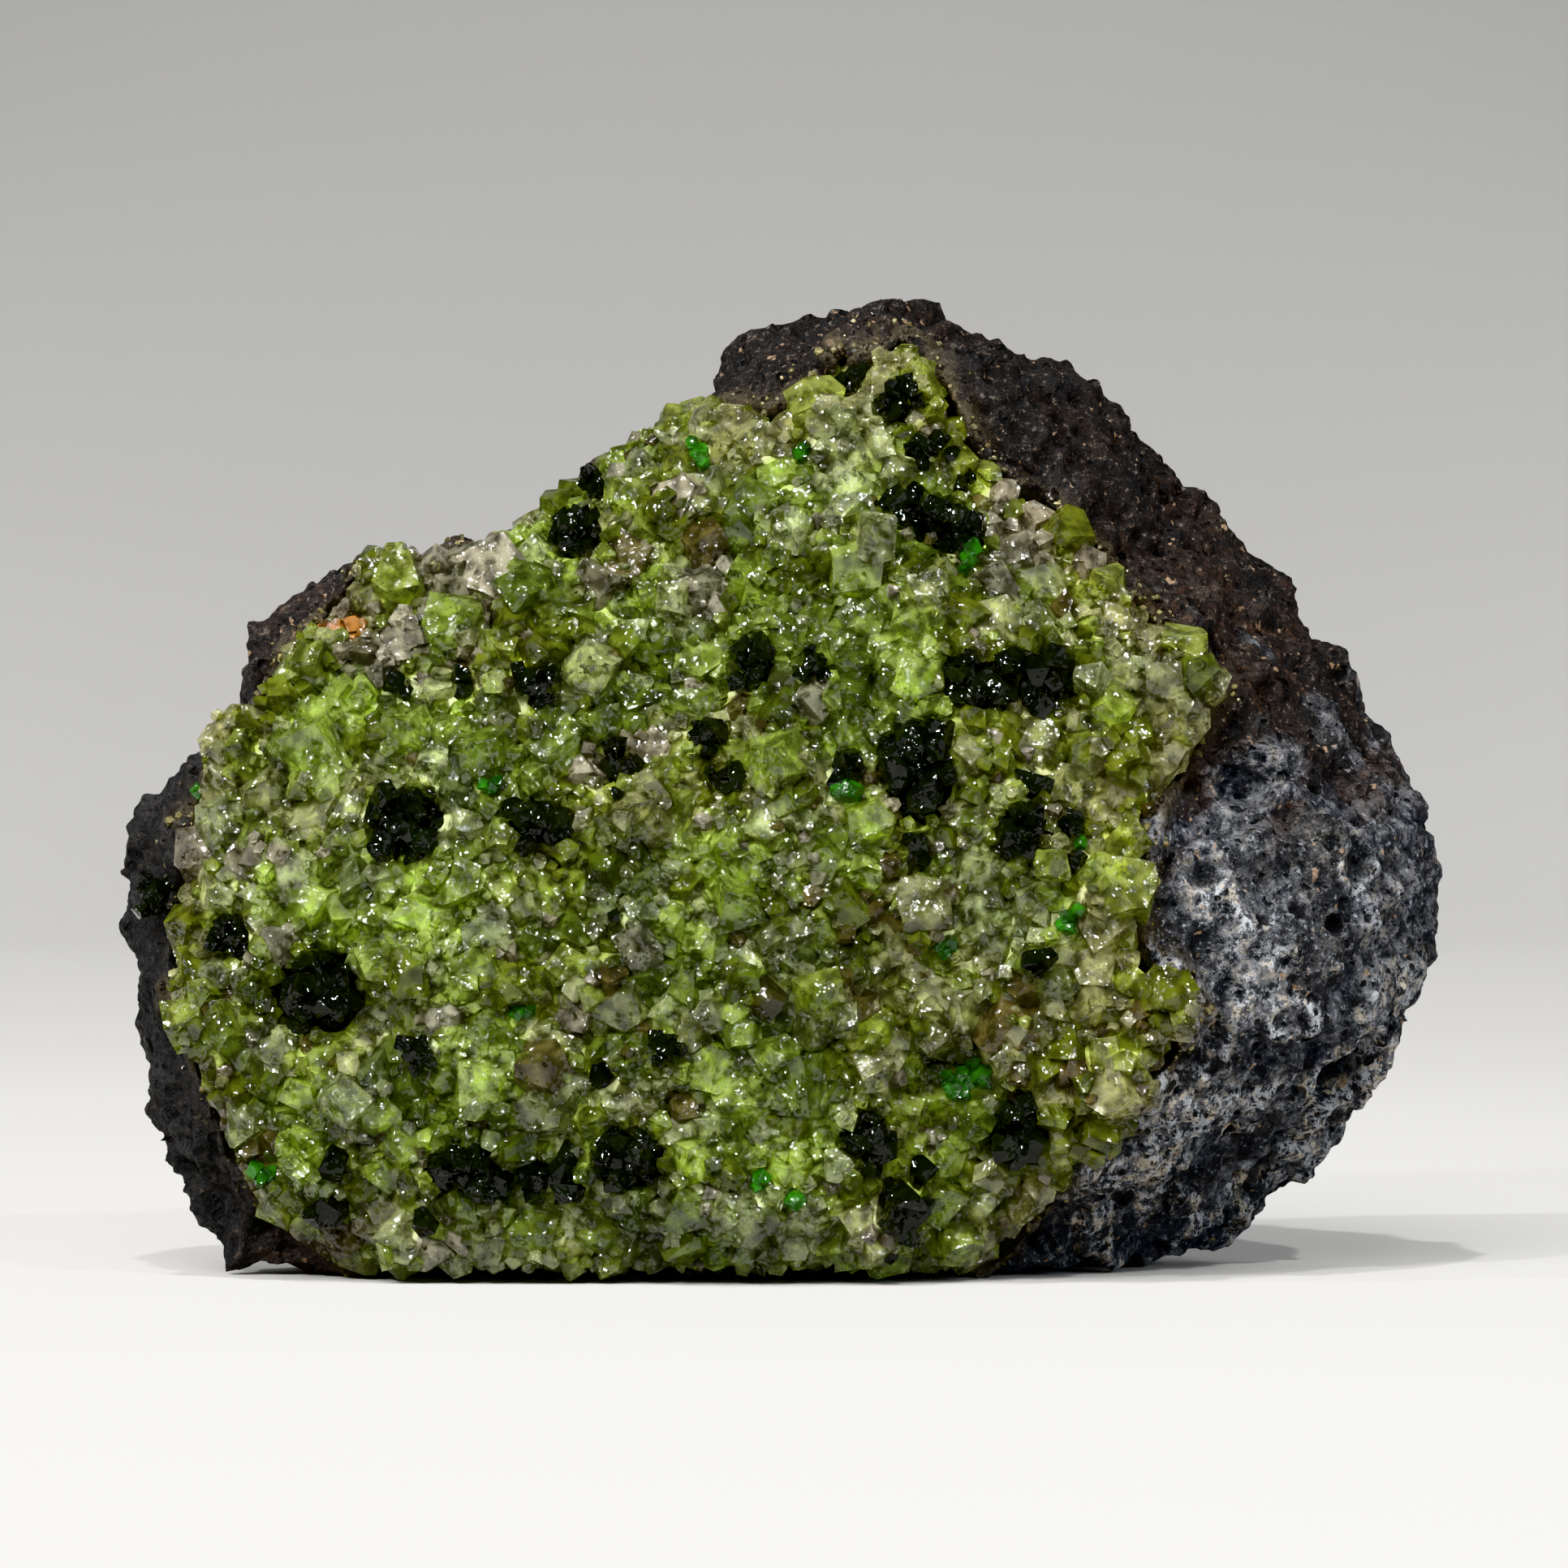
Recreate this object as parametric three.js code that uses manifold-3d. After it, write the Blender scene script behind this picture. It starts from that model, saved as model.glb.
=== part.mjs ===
// Peridot crystals in basalt: a granular mass of olive-green crystals held in a rind of dark, pitted lava.
// Millimetres, +Z up. The crystal face looks along -Y and the rind's rounded back along +Y.

import * as THREE from 'three';
import { ImprovedNoise } from 'three/addons/math/ImprovedNoise.js';
import { MeshSurfaceSampler } from 'three/addons/math/MeshSurfaceSampler.js';
import { mergeVertices } from 'three/addons/utils/BufferGeometryUtils.js';
import Module from 'manifold-3d';

const wasm = await Module();
wasm.setup();

// Driving dimensions of the lump.
const CENTRE_HEIGHT = 27;
const FRONT_DEPTH = 15;
const BACK_DEPTH = 25;
const FRONT_ROUNDNESS = 2.7;
const BACK_ROUNDNESS = 2.3;
const LEAN = 0.18;
const LEFT_THINNING = 0.22;

// Mesh fineness of the lump and of the crystal mass.
const ROCK_STEPS_AROUND = 68;
const ROCK_STEPS_DEEP = 20;
const MASS_STEPS_AROUND = 40;
const MASS_STEPS_DEEP = 12;
const MERGE_DISTANCE = 1e-5;

// The outline's teeth are crisp at the rim, from where they fade to a smoothed outline.
const OUTLINE_SAMPLES_PER_CORNER = 12;
const OUTLINE_STEPS = 720;
const OUTLINE_SMOOTHING = 50;
const OUTLINE_CRISPNESS = 5;

// The crystal mass: how proud it stands of the basalt and how deep it reaches into it.
const MASS_PROUD = 1.0;
const MASS_RIM_DEPTH = -7.5;
const MASS_BACK_REACH = 12;
const MASS_FRONT_REACH = 30;
const ROOM_SQUARING = 1.6;
const MASS_FLOOR_CLEARANCE = 0.5;
const SEAM_GAP = 0.4;
const SURFACE_GAP = 0.3;

// The flat that the lump stands on.
const BASE_SAG = 4;
const BASE_SAG_HEIGHT = 9;
const BASE_FRONT_EDGE = -10;
const BASE_FRONT_FADE = 5;

// Lumps and ledges of the basalt.
const LUMPS = [
  { width: 13, height: 2.2, shift: 3 },
  { width: 6, height: 1.3, shift: 11 },
];
const RIDGE = { width: 9, height: 4.5, shift: 23, level: 0.25 };
const LEDGE_COUNT = 75;
const LEDGE_HEIGHT = 1.5;
const RIM_CALM = 0.6;
const RIM_CALM_POWER = 6;

// Crystals of the mass and bubbles of the basalt.
const CRYSTAL_COUNT = 84;
const CRYSTAL_RADIUS_MIN = 2.2;
const CRYSTAL_RADIUS_MAX = 3.2;
const CRYSTAL_SPACING = 4.4;
const CRYSTAL_SINK = 0.3;
const CRYSTAL_WIDTHS = [0.85, 1.2];
const CRYSTAL_HEIGHTS = [0.8, 1.05];
const CRYSTAL_EDGE_ROOM = 1;
const CRYSTAL_RIM_ROOM = 1.8;
const CRYSTAL_FLOOR_ROOM = 2.2;
const BUBBLE_COUNT = 12;
const BUBBLE_RADIUS_MIN = 0.8;
const BUBBLE_RADIUS_MAX = 1.7;
const BUBBLE_SPACING = 7;
const LARGE_BUBBLE = 1.3;
const BUBBLE_EDGE_ROOM = 3;
const BUBBLE_BACK_START = 6;
const BUBBLE_LOWEST = 5;
const BUBBLE_LIFT = 0.25;
const SAMPLE_TRIES = 6000;

// Outline of the whole lump seen from the front, as [x, z], clockwise from its left end.
const ROCK_OUTLINE = [
  [-40, 24.5], [-38.5, 27.5], [-36, 29.5], [-33, 32.5], [-31.5, 34.5], [-32.5, 37], [-32, 39],
  [-30, 41], [-25, 42], [-20.5, 43], [-16, 43.5], [-13.5, 45], [-11, 47.5], [-8, 49.5],
  [-4.5, 51], [-3.5, 53.5], [-1.5, 56], [2, 56.5], [5.5, 58], [9.5, 56.5], [12.5, 56],
  [17.5, 54.5], [21, 52.5], [23, 49.5], [28.5, 44.5], [32, 40], [35, 37.5], [37, 33],
  [39, 28.5], [40, 25], [39.5, 19.5], [38, 15.5], [38.5, 12.5], [36.5, 8.5], [33.5, 7],
  [31, 4.5], [30, 2], [26, 2], [22.5, 1], [16, 0.5], [11, 0], [4.5, 1], [-1.5, 1.5],
  [-6.5, 2.5], [-13, 2], [-20.5, 0], [-26, 1.5], [-34, 3.5], [-36, 6], [-38, 8],
  [-38.5, 12.5], [-39.5, 16.5], [-39.5, 21],
];

// Edge of the crystal mass seen from the front. Where it lies outside the lump, crystals reach the rim.
const MASS_OUTLINE = [
  [-36.5, 23], [-34.5, 27], [-34.5, 29.5], [-35.5, 31.5], [-32.5, 34], [-30, 34.5], [-29, 37],
  [-28.5, 40], [-24, 41.5], [-21.5, 44], [-18, 43.5], [-16, 43.5], [-11, 48], [-8.5, 50.5],
  [-5, 52], [-4, 49.5], [-1, 49.5], [1, 52], [3.5, 55], [6, 55.5], [8.5, 54.5], [9.5, 52],
  [11, 49.5], [13, 46.5], [15.5, 47.5], [16.5, 45], [17.5, 41], [19, 39.5], [22.5, 38.5],
  [24.5, 34], [24, 30.5], [21.5, 28], [20.5, 23], [20, 21.5], [23, 18.5], [23.5, 15.5],
  [21, 12], [18.5, 8.5], [16.5, 5.5], [13.5, 3], [12, -1], [4, -1.5], [-6, -1], [-20, -2],
  [-29, 0], [-31, 6], [-33, 9.5], [-34, 13], [-35.5, 16], [-36, 20],
];

// Broken faces of the lump: outward normal and distance from its middle.
const CHIPS = [
  { normal: [0.72, -0.42, 0.55], distance: 29.5 },
  { normal: [0.86, -0.5, -0.1], distance: 36 },
  { normal: [0.45, -0.35, -0.82], distance: 29 },
  { normal: [-0.84, -0.5, -0.22], distance: 37 },
  { normal: [0.62, 0.78, 0.1], distance: 32 },
  { normal: [-0.62, 0.76, 0.2], distance: 29 },
  { normal: [0.05, 0.9, 0.44], distance: 25.5 },
  { normal: [-0.1, 0.72, -0.68], distance: 27 },
  { normal: [-0.2, 0.45, 0.87], distance: 27.5 },
  { normal: [0.55, 0.35, 0.75], distance: 31 },
];
const CHIP_MIDDLE = new THREE.Vector3(0, 3, CENTRE_HEIGHT);
const CHIP_FLATNESS = 0.88;

// Bubbles that show from the front, as [x, z, radius].
const FRONT_BUBBLES = [
  [24.5, 46.3, 1.2], [35, 12.5, 2.4], [27.1, 29, 1.7], [29.8, 22, 0.9], [27, 6, 1], [31.5, 21, 0.9],
];

// Hollows in the crystal face, as [x, z, reach, depth].
const HOLLOWS = [
  [10, 17, 7, 1.6], [-27, 38, 4, 1], [-13, 36, 5, 0.9], [3, 24, 5, 0.8], [-24, 24, 4, 0.7], [2, 46, 5, 0.8],
];
const HOLLOW_STEEPNESS = 2;
const HOLLOW_RIM_POWER = 8;

// Black crystals that stand in the mass, as [x, z, width, height].
const BLACK_CRYSTALS = [
  [-27.3, 17.1, 5.3, 4.6], [-22.2, 27.2, 3.9, 4.1], [-14.5, 27, 4.4, 3.2], [-17.2, 6.2, 6.6, 3.2],
  [-9, 7.4, 3.4, 3.3], [5, 8, 3.1, 4.1], [7.8, 30, 3.8, 6.4], [11, 35.3, 5, 3.8], [16, 35.3, 3.4, 3.4],
  [-2.2, 36.1, 2.8, 3.2], [9.9, 44.2, 5.4, 3.5], [6.8, 51.6, 2.6, 3.4], [13.8, 25.8, 3, 3.7],
  [13.7, 8.2, 3.4, 4.6], [-32.6, 20, 2.2, 3.3], [-12.2, 44, 2.8, 2.8],
];
const BLACK_SINK = 0.35;
const BLACK_DEPTH_SHARE = 0.85;
const BLACK_END_SHARE = 0.85;
const BLACK_END_MIN_REACH = 0.4;
const BLACK_ROOM_LESS = 1;
const LONG_CLUSTER = 1.6;

const FINISHES = {
  basalt: { color: 0x3a3835, roughness: 0.9 },
  peridot: { color: 0x8fae3c, roughness: 0.25 },
  black: { color: 0x0c0d0c, roughness: 0.15 },
};
const FULL_TURN = 2 * Math.PI;
const CUTTER_SIZE = 200;

// Seeded random numbers, the same at every run.
const SEED = 43;
let randomState = SEED;
function random() {
  randomState = (randomState * 1664525 + 1013904223) % 4294967296;
  return randomState / 4294967296;
}
const between = (low, high) => low + (high - low) * random();

// Smooth lumps of about unit height and the given width.
const noise = new ImprovedNoise();
function lump(point, width, shift) {
  return noise.noise(point.x / width + shift, point.y / width, point.z / width);
}

// Distance from the lump's middle to an outline, in evenly spaced directions of the front view.
function outlineRadii(outline) {
  const corners = outline.map(([x, z]) => new THREE.Vector3(x, 0, z - CENTRE_HEIGHT));
  const curve = new THREE.CatmullRomCurve3(corners, true, 'centripetal');
  const samples = curve.getPoints(outline.length * OUTLINE_SAMPLES_PER_CORNER).map((point) => ({
    angle: (Math.atan2(point.z, point.x) + FULL_TURN) % FULL_TURN,
    radius: Math.hypot(point.x, point.z),
  }));
  samples.sort((a, b) => a.angle - b.angle);
  const first = samples[0];
  const last = samples[samples.length - 1];
  samples.unshift({ angle: last.angle - FULL_TURN, radius: last.radius });
  samples.push({ angle: first.angle + FULL_TURN, radius: first.radius });
  return Array.from({ length: OUTLINE_STEPS }, (_, step) => {
    const angle = (step / OUTLINE_STEPS) * FULL_TURN;
    const next = samples.findIndex((sample) => sample.angle > angle);
    const before = samples[next - 1];
    const after = samples[next];
    const share = (angle - before.angle) / (after.angle - before.angle);
    return THREE.MathUtils.lerp(before.radius, after.radius, share);
  });
}

// The same distances with their small teeth averaged out.
function smoothed(radii) {
  return radii.map((_, step) => {
    let sum = 0;
    for (let offset = -OUTLINE_SMOOTHING; offset <= OUTLINE_SMOOTHING; offset += 1) {
      sum += radii[(step + offset + OUTLINE_STEPS) % OUTLINE_STEPS];
    }
    return sum / (2 * OUTLINE_SMOOTHING + 1);
  });
}

// The distance in one direction, between two of the even steps.
function radiusAt(radii, angle) {
  const step = ((angle / FULL_TURN + 1) % 1) * OUTLINE_STEPS;
  const low = Math.floor(step) % OUTLINE_STEPS;
  return THREE.MathUtils.lerp(radii[low], radii[(low + 1) % OUTLINE_STEPS], step - Math.floor(step));
}

const rockRadii = outlineRadii(ROCK_OUTLINE);
const rockRadiiSmooth = smoothed(rockRadii);
const massRadii = outlineRadii(MASS_OUTLINE);

// A geometry with positions only and its shared points merged.
function bareMerged(geometry) {
  const bare = geometry.clone();
  bare.deleteAttribute('normal');
  bare.deleteAttribute('uv');
  return mergeVertices(bare, MERGE_DISTANCE);
}

// A sphere with its poles to the front and back, each point moved by shape(angle, outward, forward).
function shapedBall(around, deep, shape) {
  const ball = new THREE.SphereGeometry(1, around, deep);
  ball.rotateX(Math.PI / 2);
  const geometry = bareMerged(ball);
  const position = geometry.attributes.position;
  for (let i = 0; i < position.count; i += 1) {
    const outward = Math.hypot(position.getX(i), position.getZ(i));
    const angle = Math.atan2(position.getZ(i), position.getX(i));
    const point = shape(angle, outward, -position.getY(i));
    position.setXYZ(i, point.x, point.y, point.z);
  }
  return geometry;
}

// A point on a rounded slab of the given radius and depths.
function slabPoint(angle, outward, forward, radius, front, back) {
  const power = forward > 0 ? FRONT_ROUNDNESS : BACK_ROUNDNESS;
  const length = (outward ** power + Math.abs(forward) ** power) ** (1 / power);
  const reach = (radius * outward) / length;
  const y = forward > 0 ? (-front * forward) / length : (-back * forward) / length;
  return new THREE.Vector3(reach * Math.cos(angle), y, CENTRE_HEIGHT + reach * Math.sin(angle));
}

// Flattens a point that stands out past any of the broken faces.
function chip(point, proud) {
  for (const { normal, distance } of CHIPS) {
    const direction = new THREE.Vector3(...normal).normalize();
    const over = point.clone().sub(CHIP_MIDDLE).dot(direction) - distance - proud;
    if (over > 0) {
      point.addScaledVector(direction, -over * CHIP_FLATNESS);
    }
  }
}

// How far the crystal face is sunk at a point.
function hollowDepth(point) {
  let depth = 0;
  for (const [x, z, reach, deep] of HOLLOWS) {
    const distance = Math.hypot(point.x - x, point.z - z) / reach;
    depth += deep * Math.exp(-HOLLOW_STEEPNESS * distance ** 2);
  }
  return depth;
}

// Lets the underside sag behind the front edge, so that a cut at the floor leaves a broad flat.
function sag(point) {
  const behind = THREE.MathUtils.smoothstep(point.y, BASE_FRONT_EDGE, BASE_FRONT_EDGE + BASE_FRONT_FADE);
  const low = 1 - THREE.MathUtils.smoothstep(point.z, 0, BASE_SAG_HEIGHT);
  point.z -= BASE_SAG * behind * low;
}

// Ledges: each patch of the basalt stands a little in or out, around seeded directions.
const ledges = Array.from({ length: LEDGE_COUNT }, () => ({
  direction: new THREE.Vector3(between(-1, 1), between(-1, 1), between(-1, 1)).normalize(),
  height: between(-LEDGE_HEIGHT, LEDGE_HEIGHT),
}));
function ledgeHeight(direction) {
  let best = -2;
  let height = 0;
  for (const ledge of ledges) {
    const nearness = ledge.direction.dot(direction);
    if (nearness > best) {
      best = nearness;
      height = ledge.height;
    }
  }
  return height;
}

// How far the basalt swells or sinks at a point, in a direction from its middle.
function swell(point, direction) {
  let rounded = 0;
  for (const { width, height, shift } of LUMPS) {
    rounded += height * lump(point, width, shift);
  }
  const ridge = RIDGE.height * (RIDGE.level - Math.abs(lump(point, RIDGE.width, RIDGE.shift)));
  return rounded + ridge + ledgeHeight(direction);
}

// The whole lump, grown by a few tenths where proud is given.
function rockGeometry(around, deep, proud) {
  return shapedBall(around, deep, (angle, outward, forward) => {
    const smooth = radiusAt(rockRadiiSmooth, angle);
    const crisp = radiusAt(rockRadii, angle);
    const radius = THREE.MathUtils.lerp(smooth, crisp, outward ** OUTLINE_CRISPNESS) + proud;
    const back = (BACK_DEPTH + proud) * (1 + LEFT_THINNING * Math.cos(angle) * outward);
    const point = slabPoint(angle, outward, forward, radius, FRONT_DEPTH + proud, back);
    const direction = point.clone().sub(CHIP_MIDDLE).normalize();
    const calm = 1 - RIM_CALM * outward ** RIM_CALM_POWER;
    point.addScaledVector(direction, swell(point, direction) * calm);
    chip(point, proud);
    if (forward > 0) {
      point.y += hollowDepth(point) * (1 - outward ** HOLLOW_RIM_POWER);
    }
    point.y += LEAN * (point.z - CENTRE_HEIGHT);
    sag(point);
    return point;
  });
}

// The room that the crystal mass takes in the lump, grown by a few tenths for its pocket.
function massRoomGeometry(grown) {
  return shapedBall(MASS_STEPS_AROUND, MASS_STEPS_DEEP, (angle, outward, forward) => {
    const radius = radiusAt(massRadii, angle) + grown;
    const point = slabPoint(angle, outward, forward, radius, 0, MASS_BACK_REACH + grown);
    if (forward >= 0) {
      const reach = radius * Math.min(1, outward * ROOM_SQUARING);
      point.set(reach * Math.cos(angle), 0, CENTRE_HEIGHT + reach * Math.sin(angle));
      point.y = -MASS_FRONT_REACH * Math.min(1, forward * ROOM_SQUARING);
    }
    point.y += MASS_RIM_DEPTH + LEAN * (point.z - CENTRE_HEIGHT);
    return point;
  });
}

// Manifold solid of a closed geometry.
function solid(geometry) {
  const merged = bareMerged(geometry);
  return new wasm.Manifold(new wasm.Mesh({
    numProp: 3,
    vertProperties: new Float32Array(merged.attributes.position.array),
    triVerts: new Uint32Array(merged.index.array),
  }));
}

// three.js geometry of a Manifold solid.
function geometryOf(body) {
  const mesh = body.getMesh();
  const geometry = new THREE.BufferGeometry();
  geometry.setAttribute('position', new THREE.BufferAttribute(new Float32Array(mesh.vertProperties), 3));
  geometry.setIndex(new THREE.BufferAttribute(new Uint32Array(mesh.triVerts), 1));
  return geometry;
}

// A solid block below a level, to cut with.
function blockBelow(level) {
  const block = new THREE.BoxGeometry(CUTTER_SIZE, CUTTER_SIZE, CUTTER_SIZE);
  block.translate(0, 0, level - CUTTER_SIZE / 2);
  return solid(block);
}

// Flat-faced crystal shapes of about unit radius.
const STUB_PROFILE = [[0, -1], [0.85, -0.6], [0.95, 0.5], [0, 0.95]].map(([x, y]) => new THREE.Vector2(x, y));
const stub = (sides) => new THREE.LatheGeometry(STUB_PROFILE, sides);
const CRYSTAL_SHAPES = [
  () => new THREE.IcosahedronGeometry(1, 0),
  () => stub(4),
  () => stub(5),
];

// Placement of a crystal: where, how large and how turned.
function crystalPose(centre, scale) {
  const tumble = new THREE.Euler(between(0, FULL_TURN), between(0, FULL_TURN), between(0, FULL_TURN));
  const shape = Math.floor(random() * CRYSTAL_SHAPES.length);
  return { centre, scale, turn: new THREE.Quaternion().setFromEuler(tumble), shape };
}

// Solid of a crystal at its pose, grown by a few tenths for its pocket.
function crystalSolid(pose, grown) {
  const geometry = CRYSTAL_SHAPES[pose.shape]();
  geometry.scale(1 + grown / pose.scale.x, 1 + grown / pose.scale.y, 1 + grown / pose.scale.z);
  geometry.applyQuaternion(pose.turn);
  geometry.scale(...pose.scale.toArray());
  geometry.translate(...pose.centre.toArray());
  return solid(geometry);
}

// First point of a surface met from the front at (x, z), with its normal.
function frontHit(mesh, x, z) {
  const ray = new THREE.Raycaster(new THREE.Vector3(x, -CUTTER_SIZE, z), new THREE.Vector3(0, 1, 0));
  const hit = ray.intersectObject(mesh)[0];
  return { point: hit.point, normal: hit.face.normal.clone() };
}

// Points spread over a surface at least a spacing apart, where wanted(point) holds.
function spreadPoints(mesh, count, spacing, taken, wanted) {
  const sampler = new MeshSurfaceSampler(mesh).setRandomGenerator(random).build();
  const found = [];
  for (let i = 0; i < SAMPLE_TRIES && found.length < count; i += 1) {
    const point = new THREE.Vector3();
    const normal = new THREE.Vector3();
    sampler.sample(point, normal);
    const tooNear = (other) => other.point.distanceTo(point) < spacing + (other.room ?? 0);
    if (wanted(point) && ![...taken, ...found].some(tooNear)) {
      found.push({ point, normal });
    }
  }
  return found;
}

// How far inside an outline a point lies, in the front view.
function inside(radii, point) {
  const height = point.z - CENTRE_HEIGHT;
  return radiusAt(radii, Math.atan2(height, point.x)) - Math.hypot(point.x, height);
}

const rockShape = rockGeometry(ROCK_STEPS_AROUND, ROCK_STEPS_DEEP, 0);
const faceShape = rockGeometry(MASS_STEPS_AROUND, MASS_STEPS_DEEP, MASS_PROUD);
const rockMesh = new THREE.Mesh(rockShape.toNonIndexed());
const faceMesh = new THREE.Mesh(faceShape.toNonIndexed());

// Poses of one black cluster: a main crystal in its middle and a smaller one towards each end.
function blackPoses([x, z, width, height]) {
  const { point, normal } = frontHit(faceMesh, x, z);
  const small = Math.min(width, height) / 2;
  const along = width > height ? new THREE.Vector3(1, 0, 0) : new THREE.Vector3(0, 0, 1);
  const centre = point.clone().addScaledVector(normal, -small * BLACK_SINK);
  const long = Math.max(width, height) / 2;
  const endReach = Math.max(long - small * BLACK_END_SHARE, small * BLACK_END_MIN_REACH);
  const poses = [crystalPose(centre, new THREE.Vector3(small, small * BLACK_DEPTH_SHARE, small))];
  for (const side of long > small * LONG_CLUSTER ? [-1, 1] : [1]) {
    const end = centre.clone().addScaledVector(along, side * endReach);
    const size = small * BLACK_END_SHARE;
    poses.push(crystalPose(end, new THREE.Vector3(size, size * BLACK_DEPTH_SHARE, size)));
  }
  return poses;
}

// Join of the crystals at the given poses.
function crystalsJoined(poses, grown) {
  return poses.map((pose) => crystalSolid(pose, grown)).reduce((sum, next) => sum.add(next));
}

const blackClusters = BLACK_CRYSTALS.map(blackPoses);
const blackPockets = crystalsJoined(blackClusters.flat(), SURFACE_GAP);

// The peridot crystals that stand out of the mass.
function peridotPoses() {
  const taken = BLACK_CRYSTALS.map(([x, z, width, height]) => ({
    point: frontHit(faceMesh, x, z).point,
    room: (width + height) / 4 - BLACK_ROOM_LESS,
  }));
  const wanted = (point) => (
    inside(massRadii, point) > CRYSTAL_EDGE_ROOM
    && inside(rockRadii, point) > CRYSTAL_RIM_ROOM
    && point.y < MASS_RIM_DEPTH + LEAN * (point.z - CENTRE_HEIGHT)
    && point.z > CRYSTAL_FLOOR_ROOM
  );
  const places = spreadPoints(faceMesh, CRYSTAL_COUNT, CRYSTAL_SPACING, taken, wanted);
  return places.map(({ point, normal }) => {
    const radius = CRYSTAL_RADIUS_MIN + (CRYSTAL_RADIUS_MAX - CRYSTAL_RADIUS_MIN) * random() ** 2;
    const centre = point.clone().addScaledVector(normal, -radius * CRYSTAL_SINK);
    const scale = new THREE.Vector3(
      between(...CRYSTAL_WIDTHS),
      between(...CRYSTAL_HEIGHTS),
      between(...CRYSTAL_WIDTHS),
    );
    return crystalPose(centre, scale.multiplyScalar(radius));
  });
}

// The mass of intergrown peridot with its crystals, cut clear of the basalt and of the black crystals.
function peridotSolid() {
  const body = solid(faceShape).intersect(solid(massRoomGeometry(0)));
  const rind = solid(rockGeometry(ROCK_STEPS_AROUND, ROCK_STEPS_DEEP, SURFACE_GAP));
  const rindAround = rind.subtract(solid(massRoomGeometry(SEAM_GAP - SURFACE_GAP)));
  const grown = body.add(crystalsJoined(peridotPoses(), 0));
  return grown.subtract(rindAround).subtract(blackPockets).subtract(blockBelow(MASS_FLOOR_CLEARANCE));
}

// The basalt rind: the lump less the pocket of the crystal mass and its bubbles, cut flat at the floor.
function basaltSolid() {
  const shown = FRONT_BUBBLES.map(([x, z, radius]) => ({ ...frontHit(rockMesh, x, z), radius }));
  const clear = (point) => (
    (inside(massRadii, point) < -BUBBLE_EDGE_ROOM || point.y > BUBBLE_BACK_START)
    && point.z > BUBBLE_LOWEST
  );
  const spread = spreadPoints(rockMesh, BUBBLE_COUNT, BUBBLE_SPACING, shown, clear);
  spread.forEach((bubble) => {
    bubble.radius = between(BUBBLE_RADIUS_MIN, BUBBLE_RADIUS_MAX);
  });
  let body = solid(rockShape).subtract(solid(massRoomGeometry(SEAM_GAP)));
  for (const { point, normal, radius } of [...shown, ...spread]) {
    const bubble = new THREE.IcosahedronGeometry(radius, radius > LARGE_BUBBLE ? 1 : 0);
    const middle = point.clone().addScaledVector(normal, radius * BUBBLE_LIFT);
    bubble.translate(...middle.toArray());
    body = body.subtract(solid(bubble));
  }
  return body.subtract(blackPockets).subtract(blockBelow(0));
}

function namedMesh(name, body, finish) {
  const material = new THREE.MeshStandardMaterial({ ...finish, metalness: 0 });
  const mesh = new THREE.Mesh(geometryOf(body), material);
  mesh.name = name;
  return mesh;
}

const specimen = new THREE.Group();
specimen.add(namedMesh('basalt_matrix', basaltSolid(), FINISHES.basalt));
specimen.add(namedMesh('peridot_mass', peridotSolid(), FINISHES.peridot));
blackClusters.forEach((poses, index) => {
  const name = `black_pyroxene_${String(index + 1).padStart(2, '0')}`;
  specimen.add(namedMesh(name, crystalsJoined(poses, 0), FINISHES.black));
});

// The lump's box stands with the middle of its underside at the origin.
const box = new THREE.Box3().setFromObject(specimen);
const middle = box.getCenter(new THREE.Vector3());
specimen.position.set(-middle.x, -middle.y, -box.min.z);

export default specimen;
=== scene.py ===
"""Looks of a hand specimen: granular peridot crystals in a rind of pitted basalt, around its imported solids."""

import math
from functools import cache
from itertools import combinations
from typing import NamedTuple

import bmesh
import bpy
import numpy as np
from bpy.props import FloatProperty, FloatVectorProperty, IntProperty, PointerProperty
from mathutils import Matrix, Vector, kdtree, noise
from mathutils.bvhtree import BVHTree


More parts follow.
